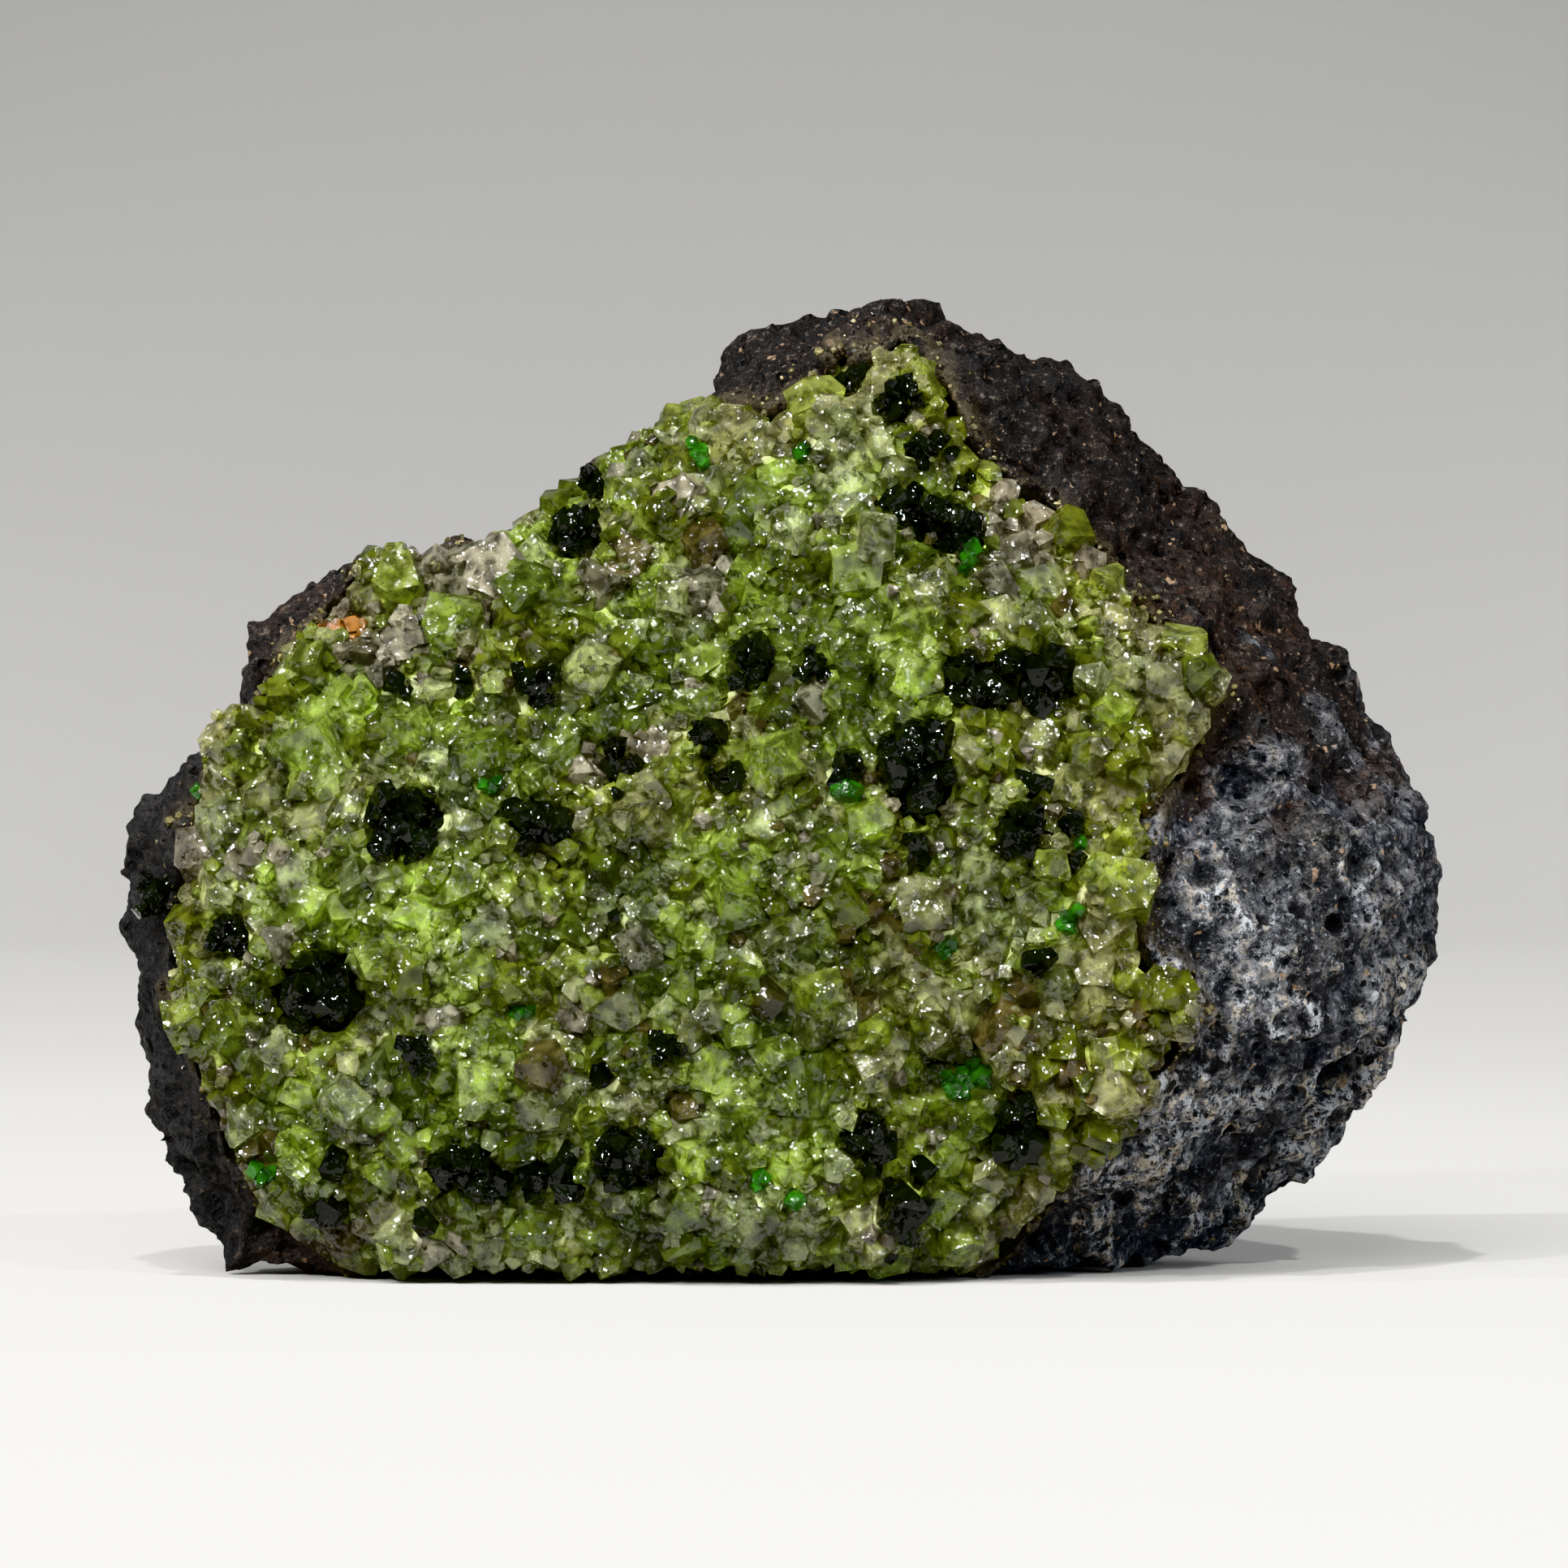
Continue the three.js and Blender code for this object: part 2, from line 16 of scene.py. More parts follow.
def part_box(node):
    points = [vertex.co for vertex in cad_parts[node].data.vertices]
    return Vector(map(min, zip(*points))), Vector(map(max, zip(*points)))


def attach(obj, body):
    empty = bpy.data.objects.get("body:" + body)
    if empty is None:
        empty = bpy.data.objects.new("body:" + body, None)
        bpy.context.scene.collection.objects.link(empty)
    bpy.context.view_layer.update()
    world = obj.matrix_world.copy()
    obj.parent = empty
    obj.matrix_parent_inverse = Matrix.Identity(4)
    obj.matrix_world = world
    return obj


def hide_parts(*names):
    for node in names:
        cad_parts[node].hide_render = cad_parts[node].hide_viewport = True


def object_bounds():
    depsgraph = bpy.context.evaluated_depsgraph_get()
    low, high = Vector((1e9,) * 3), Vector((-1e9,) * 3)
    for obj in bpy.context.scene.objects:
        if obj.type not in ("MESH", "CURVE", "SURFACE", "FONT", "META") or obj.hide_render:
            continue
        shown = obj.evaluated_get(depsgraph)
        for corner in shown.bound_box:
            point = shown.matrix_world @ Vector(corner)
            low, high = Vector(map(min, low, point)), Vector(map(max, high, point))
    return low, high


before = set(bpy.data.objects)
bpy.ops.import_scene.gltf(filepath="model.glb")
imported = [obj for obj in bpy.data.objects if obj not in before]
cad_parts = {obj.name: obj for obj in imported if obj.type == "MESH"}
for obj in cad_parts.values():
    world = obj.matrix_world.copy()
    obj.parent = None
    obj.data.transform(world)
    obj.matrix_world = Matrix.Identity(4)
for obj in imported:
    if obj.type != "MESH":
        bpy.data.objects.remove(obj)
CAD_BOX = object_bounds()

bl_info = {
    "name": "Peridot Specimen",
    "version": (1, 0, 0),
    "blender": (4, 5, 0),
    "location": "View3D > Sidebar > Specimen",
    "description": "Builds a peridot specimen on basalt, its crystals grain by grain",
    "category": "Add Mesh",
}

MM = 0.001
LOW_CORNER = Vector(CAD_BOX[0])
HIGH_CORNER = Vector(CAD_BOX[1])
MIDDLE = (LOW_CORNER + HIGH_CORNER) / 2
BLACK_NODES = sorted(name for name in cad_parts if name.startswith("black_pyroxene"))
BODY = "root"
BACKWARD = Vector((0, 1, 0))
IN_FRONT = -0.1

# Patches of the crystal face for each mineral, as (x, z, reach) in millimetres seen from the front. The first five
# are tried in the order of PATCH_MINERALS.
PATCHES = {
    "olive": [
        (16, 35.3, 1.9), (13.7, 8.2, 2.2), (-29.3, 34.4, 1.6), (0.9, 41.3, 1.6), (-1.1, 42.3, 1.2), (20, 31, 1.6),
        (-12.7, 25.2, 1.4), (-6.5, 44, 1.6), (12.6, 30.7, 1.2), (-25, 31.5, 1.3), (3, 13, 1.4), (9, 12.5, 1.5),
        (-16, 17.5, 1.5), (-3, 6.5, 1.2), (18.5, 8.8, 1.8), (-30.5, 16.5, 1.2), (-8, 36.5, 1.4),
    ],
    "brown": [
        (5.6, 19.4, 3), (14.5, 14.6, 3.6), (20, 16, 2.2), (-32.4, 8.8, 2.2), (17.6, 11.2, 2), (9, 22.5, 1.8),
        (-33, 5.5, 2), (15.5, 46.5, 1.4), (-8.5, 31, 1.2), (-2, 33, 1.2),
    ],
    "grey": [
        (-19.8, 40.4, 3.6), (-23.2, 37.4, 3), (-4.7, 40.9, 1.6), (-25.5, 39.6, 1.8), (-11, 30.6, 1.4),
        (13.2, 31.2, 1.6), (-35.3, 24.3, 1.4), (13.8, 44, 2), (-30.5, 25, 1.6),
    ],
    "lime": [
        (5.5, 35.5, 4.6), (-20.8, 22.4, 3.6), (-28.5, 22.4, 2.4), (-1.3, 40.9, 3.2), (-26.6, 33.1, 2.4),
        (-15.9, 29.7, 1.8), (-29, 9.2, 3), (-19.8, 10.2, 2.6), (-0.4, 10.2, 4.6), (-6.7, 19, 3.2), (-17.9, 13.1, 3),
        (4, 25.8, 1.8), (19.6, 24.8, 2), (-2.8, 24.8, 2.6), (-14, 41.8, 2.2),
    ],
    "pale": [
        (11.3, 20.9, 3), (1.6, 15.6, 3), (-0.8, 3.9, 3), (22.5, 34.5, 2.8), (-19.6, 27.5, 2.4), (3.5, 49, 2.6),
        (-24, 29, 2), (-8, 3.4, 2.6), (8.5, 16.5, 2), (17.5, 19, 2.6), (20.5, 37, 2), (-9, 23, 1.8), (1, 20, 2),
    ],
    "dark": [
        (-37, 22.6, 1.3), (-21, 3.7, 1), (-26.4, 4.4, 1.2), (-21.2, 13.6, 1), (-6.9, 14.1, 1), (-13.4, 6.3, 1.7),
        (6.7, 4.6, 2), (3.8, 30.4, 1.3), (7.9, 25.8, 1.1), (13, 36.1, 1.2), (1.7, 36.1, 1), (6.8, 45.5, 1.2),
        (4.2, 53, 1.1), (8.2, 48.8, 1.3), (-14.6, 35, 1.4), (-22.6, 35, 1.1), (-9.8, 30.3, 1.3), (-3.4, 29.4, 1),
        (15.1, 19.2, 1.1), (16.9, 26.7, 0.9), (16.9, 24.8, 0.9), (-18.8, 35.4, 1), (-4.2, 32.1, 1.2),
        (-9.8, 21.6, 0.5), (10.4, 46.6, 0.8), (-11, 46.4, 1),
    ],
    "emerald": [
        (3.9, 28.8, 0.95), (1, 48.4, 0.7), (-5, 48.5, 0.7), (10.8, 42.3, 0.8), (-14.8, 16, 0.7), (-34.4, 28.6, 0.7),
        (-35.6, 21.4, 0.7), (-30.5, 6.1, 0.7), (-1.3, 22.6, 0.7), (9.6, 19.9, 0.7), (10.6, 12.1, 1.3),
        (17.2, 25.8, 0.6), (-1.3, 6.4, 0.7), (0.6, 5.1, 0.8), (-17, 29, 0.6), (16.5, 21.5, 0.7),
    ],
    "amber": [
        (-26.3, 38.2, 0.9), (-25.4, 38.5, 0.8),
    ],
}
# Gas holes of the rind as (x, z, radius, depth as a share of the radius); a bump has a negative depth.
RIND_PITS = [
    (22.4, 46.2, 1.1, 1.3), (22.3, 42.6, 0.6, 1.0), (27.3, 29.2, 2.0, 0.35), (31.2, 28.7, 0.6, 1.2),
    (32.2, 20.9, 0.7, 1.1), (28, 21.4, 0.6, 1.0), (30, 21.9, 0.75, 1.0), (29.8, 15.1, 1.3, -0.3),
    (27, 5.7, 0.7, 1.1), (26, 8.6, 0.85, 1.0), (32.8, 12.4, 2.6, 0.7), (20.9, 43.6, 0.5, 1.0), (25, 37.5, 0.5, 1.0),
    (33.5, 24.5, 1.5, 0.5), (34.5, 30.5, 1.2, 0.5), (24.5, 24, 1.4, 0.45), (29.5, 34.5, 1.0, 0.6),
    (22.5, 16.5, 1.2, 0.5), (31.5, 8, 1.3, 0.5),
]

# Share of each mineral among grains that lie in no patch.
LOOSE_SHARES = {"lime": 0.42, "pale": 0.37, "olive": 0.14, "brown": 0.025, "grey": 0.04, "dark": 0.005}
PATCH_STRENGTH = 0.85
PATCH_MINERALS = ("olive", "brown", "grey", "lime", "pale")
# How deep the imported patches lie, as a share of their largest grain.
PACKED_DEPTHS = {"dark": -0.1, "amber": 0.2, "emerald": 0.0, "olive": 0.3}

# Grains of the crystal face: smallest and largest radius in millimetres, the setting that holds their count, and
# the least and most that they sink, as a share of their radius.
GRAIN_CLASSES = (
    (1.6, 2.3, "large_count", 0.5, 0.8),
    (1.1, 1.6, "medium_count", 0.45, 0.85),
    (0.7, 1.1, "small_count", 0.35, 1.0),
    (0.42, 0.7, "fine_count", 0.2, 1.3),
)
MOST_GRAINS = 20000
TRIES_FOR_EACH = 14
LARGE_RADIUS = 1.2 * MM
LARGE_FACING = -0.4
CLEAR_OF_FLOOR = 1.05
LOWEST_GRAIN = 0.9 * MM
ROOM_AROUND_DARK = 0.92
BLACK_PACKING = {"tries": 220, "ragged": 1.5, "closeness": 0.52}
PATCH_PACKING = {"tries": 60, "ragged": 1.2, "closeness": 0.6}
LOOSE_RADII = (0.3, 0.75)

# Planes of a crystal: their distance as a share of its radius, the shake of their directions, and how far its
# corners may reach.
PLANE_REACH = (0.7, 1.0)
PLANE_SHAKE = 0.18
CORNER_REACH = 1.2
GOLDEN_ANGLE = math.pi * (3 - math.sqrt(5))
ASKEW = (0.31, 0.87, 0.39)

# Dark and iron-stained shades of a mineral, as factors of its own colour, and how far the stain reaches in.
DARK_SHADE = np.array((0.3, 0.34, 0.26))
WARM_SHADE = np.array((1.0, 0.87, 0.86))
RIM_REACH = 4.0 * MM

# Rooms packed with grains: how far their edge and its lobes reach, as shares of the room, and the width of a lobe.
ROOM_EDGE = 0.9
ROOM_LIMIT = 1.12
LOBE_WIDTH = 1.7 * MM
# Radii in such rooms, the largest one also as a share of the room, and how far the black ones stand forward.
BLACK_RADII = (0.5 * MM, 1.5 * MM)
BLACK_SHARE = 0.6
BLACK_FORWARD = np.array((0, 0.6 * MM, 0))
PATCH_RADII = (0.4, 1.6)
PATCH_SHARE = 0.75
PATCH_DEPTH = 0.6
# Room between a thrown grain and the box or the rind, the rind's also as a share of the grain's radius.
CLEAR_OF_BOX = 0.1 * MM
CLEAR_OF_RIND = 0.55 * MM
CLEAR_SHARE = 0.7
LOOSE_SINK = (-0.1, 0.5)
LOOSE_SPACING = 0.8
LOOSE_BEFORE = -2 * MM

# Faces of the rind that are made finer: they face the front or the top, and lie before the back half, above the
# floor and clear of the crystals.
FINE_FACING = (0.35, 0.6)
FINE_BEFORE = 6.0 * MM
FINE_ABOVE = 0.6 * MM
FINE_CLEAR = 0.9 * MM
# Rim of a pressed hole: place, width and height as shares of its radius, and how much lighter it looks, a painted
# highlight that the rim gets as extra dust.
RIM_PLACE = 1.15
RIM_WIDTH = 0.2
RIM_HEIGHT = 0.18
RIM_LIGHT = 2.5

GRIT_RADII = (0.09 * MM, 0.32 * MM)
GROUND_RELIEF = 0.5 * MM
GROUND_CELL = 1.3 * MM
NEAREST_GRAINS = 6
CRYSTAL_IOR = 1.67

# Zones of the rind seen from the front: centre as x and z, reach in metres, and raggedness.
GREY_ZONE = ((0.034, 0.006), 0.027, 0.8)
DUST_ZONE = ((0.026, 0.004), 0.019, 0.9)
# Tones of the rind beside the ones in its settings.
LIGHT_BROWN = (0.029, 0.0225, 0.0188, 1)
LIGHT_GREY = (0.1, 0.103, 0.112, 1)
SHADOW = (0.008, 0.0075, 0.0075, 1)
# Painted shade that darkens the top of the rind.
TOP_SHADE = (0.006, 0.0058, 0.0056, 1)
BLOTCH = (0.009, 0.009, 0.0095, 1)
WARM_DUST = (0.34, 0.3, 0.24, 1)
BROWN_SPECK = (0.14, 0.11, 0.088, 1)
GREY_SPECK = (0.27, 0.29, 0.32, 1)
TAN_SPECK = (0.24, 0.16, 0.1, 1)
DARK_ASH = (0.008, 0.0085, 0.009, 1)
LIGHT_ASH = (0.015, 0.0155, 0.016, 1)
EDGE_STAIN = (0.05, 0.04, 0.024, 1)
# Painted shade in the low crevices of the fine grain.
CREVICE_SHADE = (0.003, 0.003, 0.003, 1)
# Painted shade in the small pores.
PORE_SHADE = (0.002, 0.002, 0.002, 1)
# Painted shade inside the gas holes.
PIT_SHADE = (0.002, 0.002, 0.0022, 1)

SENSOR_WIDTH = 36.0
AIM_DROP = 0.3 * MM
# Soft lights, which no gloss mirrors: place, size, share of the key light's power, colour.
SOFT_LIGHTS = {
    "key": ((-0.14, -0.42, 0.43), 0.5, 1.0, (1.0, 0.985, 0.96)),
    "fill": ((0.5, -0.34, 0.18), 0.2, 0.42, (0.9, 0.95, 1.0)),
    "back_left": ((-0.38, 0.55, 0.32), 0.4, 0.45, (1, 1, 1)),
    "back_right": ((0.38, 0.55, 0.32), 0.4, 0.45, (1, 1, 1)),
}
SKY_COLOUR = (0.9, 0.93, 1.0, 1)
GLINT_SIZE = 0.016
GLINT_PLACES = ((-0.24, -0.42, 0.32), (0.2, -0.38, 0.42), (-0.04, -0.26, 0.55), (-0.4, -0.2, 0.3))
FLOOR_HALF = 1.6
FLOOR_BACK = 0.55
FLOOR_BEND = 0.35
BEND_STEPS = 12


def length(name, description, millimetres):
    """A length setting, its default given in millimetres."""
    return FloatProperty(name=name, description=description, default=millimetres * MM, unit="LENGTH", precision=5)


def colour(name, description, *default):
    """A colour setting."""
    return FloatVectorProperty(
        name=name, description=description, subtype="COLOR", size=len(default), default=default)


def number(name, description, default):
    """A count or a seed."""
    return IntProperty(name=name, description=description, default=default)


class BasaltSettings(bpy.types.PropertyGroup):
    """Sizes and colours of the basalt rind."""

    voxel: length("Fineness", "Edge length of the rind's mesh", 0.58)
    lump_height: length("Lump height", "Height of the rind's lumps", 5.0)
    lump_width: length("Lump width", "Width of the rind's lumps", 4.2)
    pit_depth: length("Pit depth", "Depth of the gas bubbles", 1.2)
    pit_width: length("Pit spacing", "Spacing of the gas bubbles", 2.6)
    grain_height: length("Grain height", "Height of the fine grain", 0.6)
    lip: length("Lip", "Swelling of the rind where it meets the crystals", 0.9)
    brown: colour("Brown rind", "Colour of the upper rind", 0.01, 0.0078, 0.0069, 1)
    grey: colour("Grey rind", "Colour of the lower right rind", 0.015, 0.0165, 0.02, 1)
    dust: colour("Dust", "Colour of the dust on raised parts", 0.3, 0.31, 0.325, 1)
    rust: colour("Rust", "Colour of the iron stains", 0.046, 0.024, 0.016, 1)
    seed: number("Seed", "Seed of the rind's relief", 7)


class CrystalSettings(bpy.types.PropertyGroup):
    """Sizes, counts and colours of the crystals."""

    size: FloatProperty(name="Grain size", description="Scale of all grain sizes", default=1.0, min=0.5, max=2.0)
    large_count: number("Large grains", "Most large grains to place", 170)
    medium_count: number("Medium grains", "Most medium grains to place", 560)
    small_count: number("Small grains", "Most small grains to place", 1500)
    fine_count: number("Fine grains", "Most fine grains to place", 3400)
    loose_count: number("Loose grains", "Most loose grains on the ground", 1700)
    crust_voxel: length("Ground fineness", "Edge length of the ground's mesh", 0.5)
    ground_sink: length("Ground depth", "Depth of the ground between grains", 0.55)
    grit_reach: length("Grit reach", "How far the grit spreads over the rind", 3.5)
    grit_density: FloatProperty(
        name="Grit density", description="Grains of grit for each square metre at the crystals' edge", default=4.5e6)
    closeness: FloatProperty(
        name="Closeness", description="Least distance of grains as a share of both radii", default=0.6)
    lime: colour("Peridot", "Colour of the green peridot", 0.43, 0.54, 0.15)
    pale: colour("Pale peridot", "Colour of the palest grains", 0.56, 0.62, 0.33)
    olive: colour("Olive", "Colour of the deep olive grains", 0.12, 0.155, 0.025)
    brown: colour("Brown", "Colour of the stained grains", 0.12, 0.105, 0.045)
    grey: colour("Grey", "Colour of the cloudy grey grains", 0.31, 0.3, 0.22)
    dark: colour("Black", "Colour of the black pyroxene", 0.003, 0.0045, 0.002)
    emerald: colour("Emerald", "Colour of the chrome diopside", 0.045, 0.24, 0.02)
    amber: colour("Amber", "Colour of the rusty grain", 0.17, 0.085, 0.028)
    seed: number("Seed", "Seed of the grains", 11)


class StageSettings(bpy.types.PropertyGroup):
    """Floor, lights and camera."""

    floor: colour("Floor", "Colour of the floor", 0.4, 0.395, 0.385, 1)
    lens: FloatProperty(name="Lens", description="Focal length in millimetres", default=250.0)
    elevation: FloatProperty(
        name="Elevation", description="Height angle of the camera", subtype="ANGLE", default=math.radians(1.2))
    fill: FloatProperty(name="Frame fill", description="Share of the frame's width that the lump takes", default=0.85)
    key: FloatProperty(name="Key light", description="Power of the soft key light", default=5.6, unit="POWER")
    glint: FloatProperty(name="Glint light", description="Power of each small light", default=2.0, unit="POWER")
    sky: FloatProperty(name="Surroundings", description="Strength of the surroundings", default=0.1)


class Nodes:
    """Adds nodes to one tree and links them."""

    def __init__(self, tree):
        self.tree = tree

    def add(self, kind, inputs=None, **settings):
        node = self.tree.nodes.new(kind)
        for key, value in settings.items():
            setattr(node, key, value)
        for key, value in (inputs or {}).items():
            self.feed(node.inputs[key], value)
        return node

    def feed(self, socket, value):
        if isinstance(value, bpy.types.NodeSocket):
            self.tree.links.new(value, socket)
        else:
            socket.default_value = value

    def math(self, operation, first, second=0.0):
        return self.add("ShaderNodeMath", {0: first, 1: second}, operation=operation).outputs[0]

    def times(self, first, second):
        return self.math("MULTIPLY", first, second)

    def plus(self, first, second):
        return self.math("ADD", first, second)

    def minus(self, first, second):
        return self.math("SUBTRACT", first, second)

    def vector(self, operation, first, second=(0, 0, 0)):
        return self.add("ShaderNodeVectorMath", {0: first, 1: second}, operation=operation).outputs[0]

    def scaled(self, vector, factor):
        return self.add("ShaderNodeVectorMath", {0: vector, "Scale": factor}, operation="SCALE").outputs[0]

    def ranged(self, value, low, high, to_low=0.0, to_high=1.0, smooth=True):
        kind = "SMOOTHSTEP" if smooth else "LINEAR"
        inputs = {"Value": value, "From Min": low, "From Max": high, "To Min": to_low, "To Max": to_high}
        return self.add("ShaderNodeMapRange", inputs, interpolation_type=kind).outputs[0]

    def noise(self, vector, scale, detail=2.0, roughness=0.5, output=0):
        inputs = {"Vector": vector, "Scale": scale, "Detail": detail, "Roughness": roughness}
        return self.add("ShaderNodeTexNoise", inputs).outputs[output]

    def bend(self, vector, scale, detail, reach):
        """A place moved a little by noise, so that cells lose their straight edges."""
        shift = self.vector("SUBTRACT", self.noise(vector, scale, detail, output=1), (0.5, 0.5, 0.5))
        return self.vector("ADD", vector, self.scaled(shift, reach))

    def cells(self, vector, scale, output="Distance"):
        return self.add("ShaderNodeTexVoronoi", {"Vector": vector, "Scale": scale}, feature="F1").outputs[output]

    def mix(self, share, first, second):
        node = self.add("ShaderNodeMix", data_type="RGBA")
        for index, value in ((0, share), (6, first), (7, second)):
            self.feed(node.inputs[index], value)
        return node.outputs[2]

    def split(self, vector):
        return self.add("ShaderNodeSeparateXYZ", {0: vector}).outputs

    def object_place(self):
        return self.add("ShaderNodeTexCoord").outputs["Object"]

    def position(self):
        return self.add("GeometryNodeInputPosition").outputs[0]

    def near(self):
        """Distance from the crystal mass in millimetres, as the geometry keeps it."""
        return self.add("GeometryNodeInputNamedAttribute", {"Name": "near"}, data_type="FLOAT").outputs[0]

    def store(self, geometry, name, value, kind, domain):
        inputs = {"Geometry": geometry, "Name": name, "Value": value}
        return self.add("GeometryNodeStoreNamedAttribute", inputs, data_type=kind, domain=domain).outputs[0]

    def placed(self, geometry, place, given):
        """Geometry with its points at a place, kept between the two corners."""
        inside = self.vector("MINIMUM", self.vector("MAXIMUM", place, given["Low corner"]), given["High corner"])
        return self.add("GeometryNodeSetPosition", {"Geometry": geometry, "Position": inside}).outputs[0]

    def finish(self, geometry, material, out):
        """Realizes the geometry, gives it its material and puts it out."""
        whole = self.add("GeometryNodeRealizeInstances", {"Geometry": geometry}).outputs[0]
        dressed = self.add("GeometryNodeSetMaterial", {"Geometry": whole, "Material": material}).outputs[0]
        self.feed(out["Geometry"], dressed)


SOCKET_KINDS = {
    float: "NodeSocketFloat", int: "NodeSocketInt", Vector: "NodeSocketVector", type(None): "NodeSocketGeometry"}
CORNERS = {"Low corner": LOW_CORNER, "High corner": HIGH_CORNER}


def new_group(name, kind, inputs, outputs):
    """A node group with its sockets: its nodes, its input sockets and its output sockets."""
    tree = bpy.data.node_groups.new(name, kind)
    for way, sockets in (("INPUT", inputs), ("OUTPUT", outputs)):
        for label, default in sockets.items():
            socket = tree.interface.new_socket(name=label, in_out=way, socket_type=SOCKET_KINDS[type(default)])
            if way == "INPUT" and default is not None:
                socket.default_value = default
    return Nodes(tree), tree.nodes.new("NodeGroupInput").outputs, tree.nodes.new("NodeGroupOutput").inputs


def geometry_group(name, values):
    """A geometry node group with an input for each value, which keeps its result between two corners."""
    return new_group(name, "GeometryNodeTree", {"Geometry": None, **values, **CORNERS}, {"Geometry": None})


def new_material(name):
    """A material with an empty tree."""
    material = bpy.data.materials.new(name)
    material.use_nodes = True
    material.node_tree.nodes.clear()
    return material, Nodes(material.node_tree)


def run_tree(obj, make_tree, material, values):
    """Puts a node tree on an object, sets its inputs and turns the result into a plain mesh."""
    modifier = obj.modifiers.new("Shape", "NODES")
    modifier.node_group = make_tree(material, values)
    items = modifier.node_group.interface.items_tree
    ids = {item.name: item.identifier for item in items if item.in_out == "INPUT"}
    for label, value in {**values, **CORNERS}.items():
        modifier[ids[label]] = value
    bake(obj)


def bake(obj):
    """Replaces an object's mesh by its evaluated one and drops the modifiers."""
    graph = bpy.context.evaluated_depsgraph_get()
    graph.update()
    mesh = bpy.data.meshes.new_from_object(obj.evaluated_get(graph))
    obj.modifiers.clear()
    old = obj.data
    obj.data = mesh
    bpy.data.meshes.remove(old)
    mesh.name = obj.name


def link(name, data):
    """A new object in the scene for a mesh, a light or a camera."""
    obj = bpy.data.objects.new(name, data)
    bpy.context.scene.collection.objects.link(obj)
    return obj


def merged_copy(node, name):
    """A copy of a solid's mesh with its doubles merged, as a new object."""
    source = bpy.data.objects[node].data
    work = bmesh.new()
    work.from_mesh(source)
    bmesh.ops.remove_doubles(work, verts=work.verts, dist=1e-6)
    mesh = bpy.data.meshes.new(name)
    work.to_mesh(mesh)
    work.free()
    mesh.materials.clear()
    return link(name, mesh)


def tree_of(obj):
    """Search tree of an object's mesh."""
    work = bmesh.new()
    work.from_mesh(obj.data)
    found = BVHTree.FromBMesh(work)
    work.free()
    return found


def voxel_skin(obj, size):
    """Even quads over an object's shape."""
    modifier = obj.modifiers.new("Even quads", "REMESH")
    modifier.mode = "VOXEL"
    modifier.voxel_size = size
    modifier.adaptivity = 0.0
    bake(obj)


def facet_group():
    """Shader group: the broken, glinting surface and the clouding that all crystals share."""
    if "Crystal facets" in bpy.data.node_groups:
        return bpy.data.node_groups["Crystal facets"]
    nodes, given, out = new_group(
        "Crystal facets", "ShaderNodeTree", {"Facet size": 0.0004, "Facet tilt": 0.5, "Wave height": 0.5},
        {"Normal": Vector(), "Cloud": 0.0, "Polish": 0.0})
    place = nodes.object_place()
    warped = nodes.bend(place, 1500.0, 0.0, nodes.times(given["Facet size"], 1.6))
    fine = nodes.cells(warped, nodes.math("DIVIDE", 1.0, given["Facet size"]), "Color")
    broad = nodes.cells(warped, nodes.math("DIVIDE", 0.4, given["Facet size"]), "Color")
    lean = nodes.vector("SUBTRACT", nodes.vector("ADD", fine, broad), (1, 1, 1))
    broken = nodes.ranged(nodes.noise(place, 800.0, 0.0), 0.34, 0.56, 0.25, 1.0)
    lean = nodes.scaled(lean, nodes.times(given["Facet tilt"], broken))
    normal = nodes.add("ShaderNodeNewGeometry").outputs["Normal"]
    tilted = nodes.vector("NORMALIZE", nodes.vector("ADD", normal, lean))
    waves = nodes.noise(place, 1500.0, 1.0, 0.6)
    bump = nodes.add("ShaderNodeBump", {
        "Strength": given["Wave height"], "Distance": 0.15 * MM, "Height": waves, "Normal": tilted}).outputs[0]
    nodes.feed(out["Normal"], bump)
    nodes.feed(out["Cloud"], nodes.noise(place, 900.0, 1.0, 0.6))
    nodes.feed(out["Polish"], nodes.noise(place, 1900.0, 0.0))
    return nodes.tree


class Finish(NamedTuple):
    """Finish of one kind of crystal; its facet size is in millimetres."""

    transmission: float = 0.0
    absorb: tuple = (0, 0, 0)
    density: float = 0.0
    facet: float = 0.24
    tilt: float = 0.85
    wave: float = 0.6
    smooth: float = 0.05
    rough: float = 0.22
    mottle: float = 0.5
    gloss: float = 0.18


FINISHES = {
    "Peridot ground": Finish(),
    "Clear peridot": Finish(0.84, (0.84, 0.9, 0.56), 240.0),
    "Pale peridot": Finish(0.86, (0.87, 0.92, 0.66), 210.0, gloss=0.2),
    "Deep olivine": Finish(0.65, (0.6, 0.75, 0.2), 500.0),
    "Black pyroxene": Finish(facet=0.3, tilt=1.1, wave=0.8, rough=0.15, gloss=0.3),
    "Chrome diopside": Finish(0.7, (0.2, 0.85, 0.3), 500.0),
    "Rusty crystal": Finish(0.1, (0.8, 0.6, 0.3), 500.0, 0.3, 0.8, 0.9, 0.15, 0.4, 0.7, 0.3),
    "Grit": Finish(0.2, (0.8, 0.85, 0.5), 260.0, smooth=0.15, rough=0.4),
}


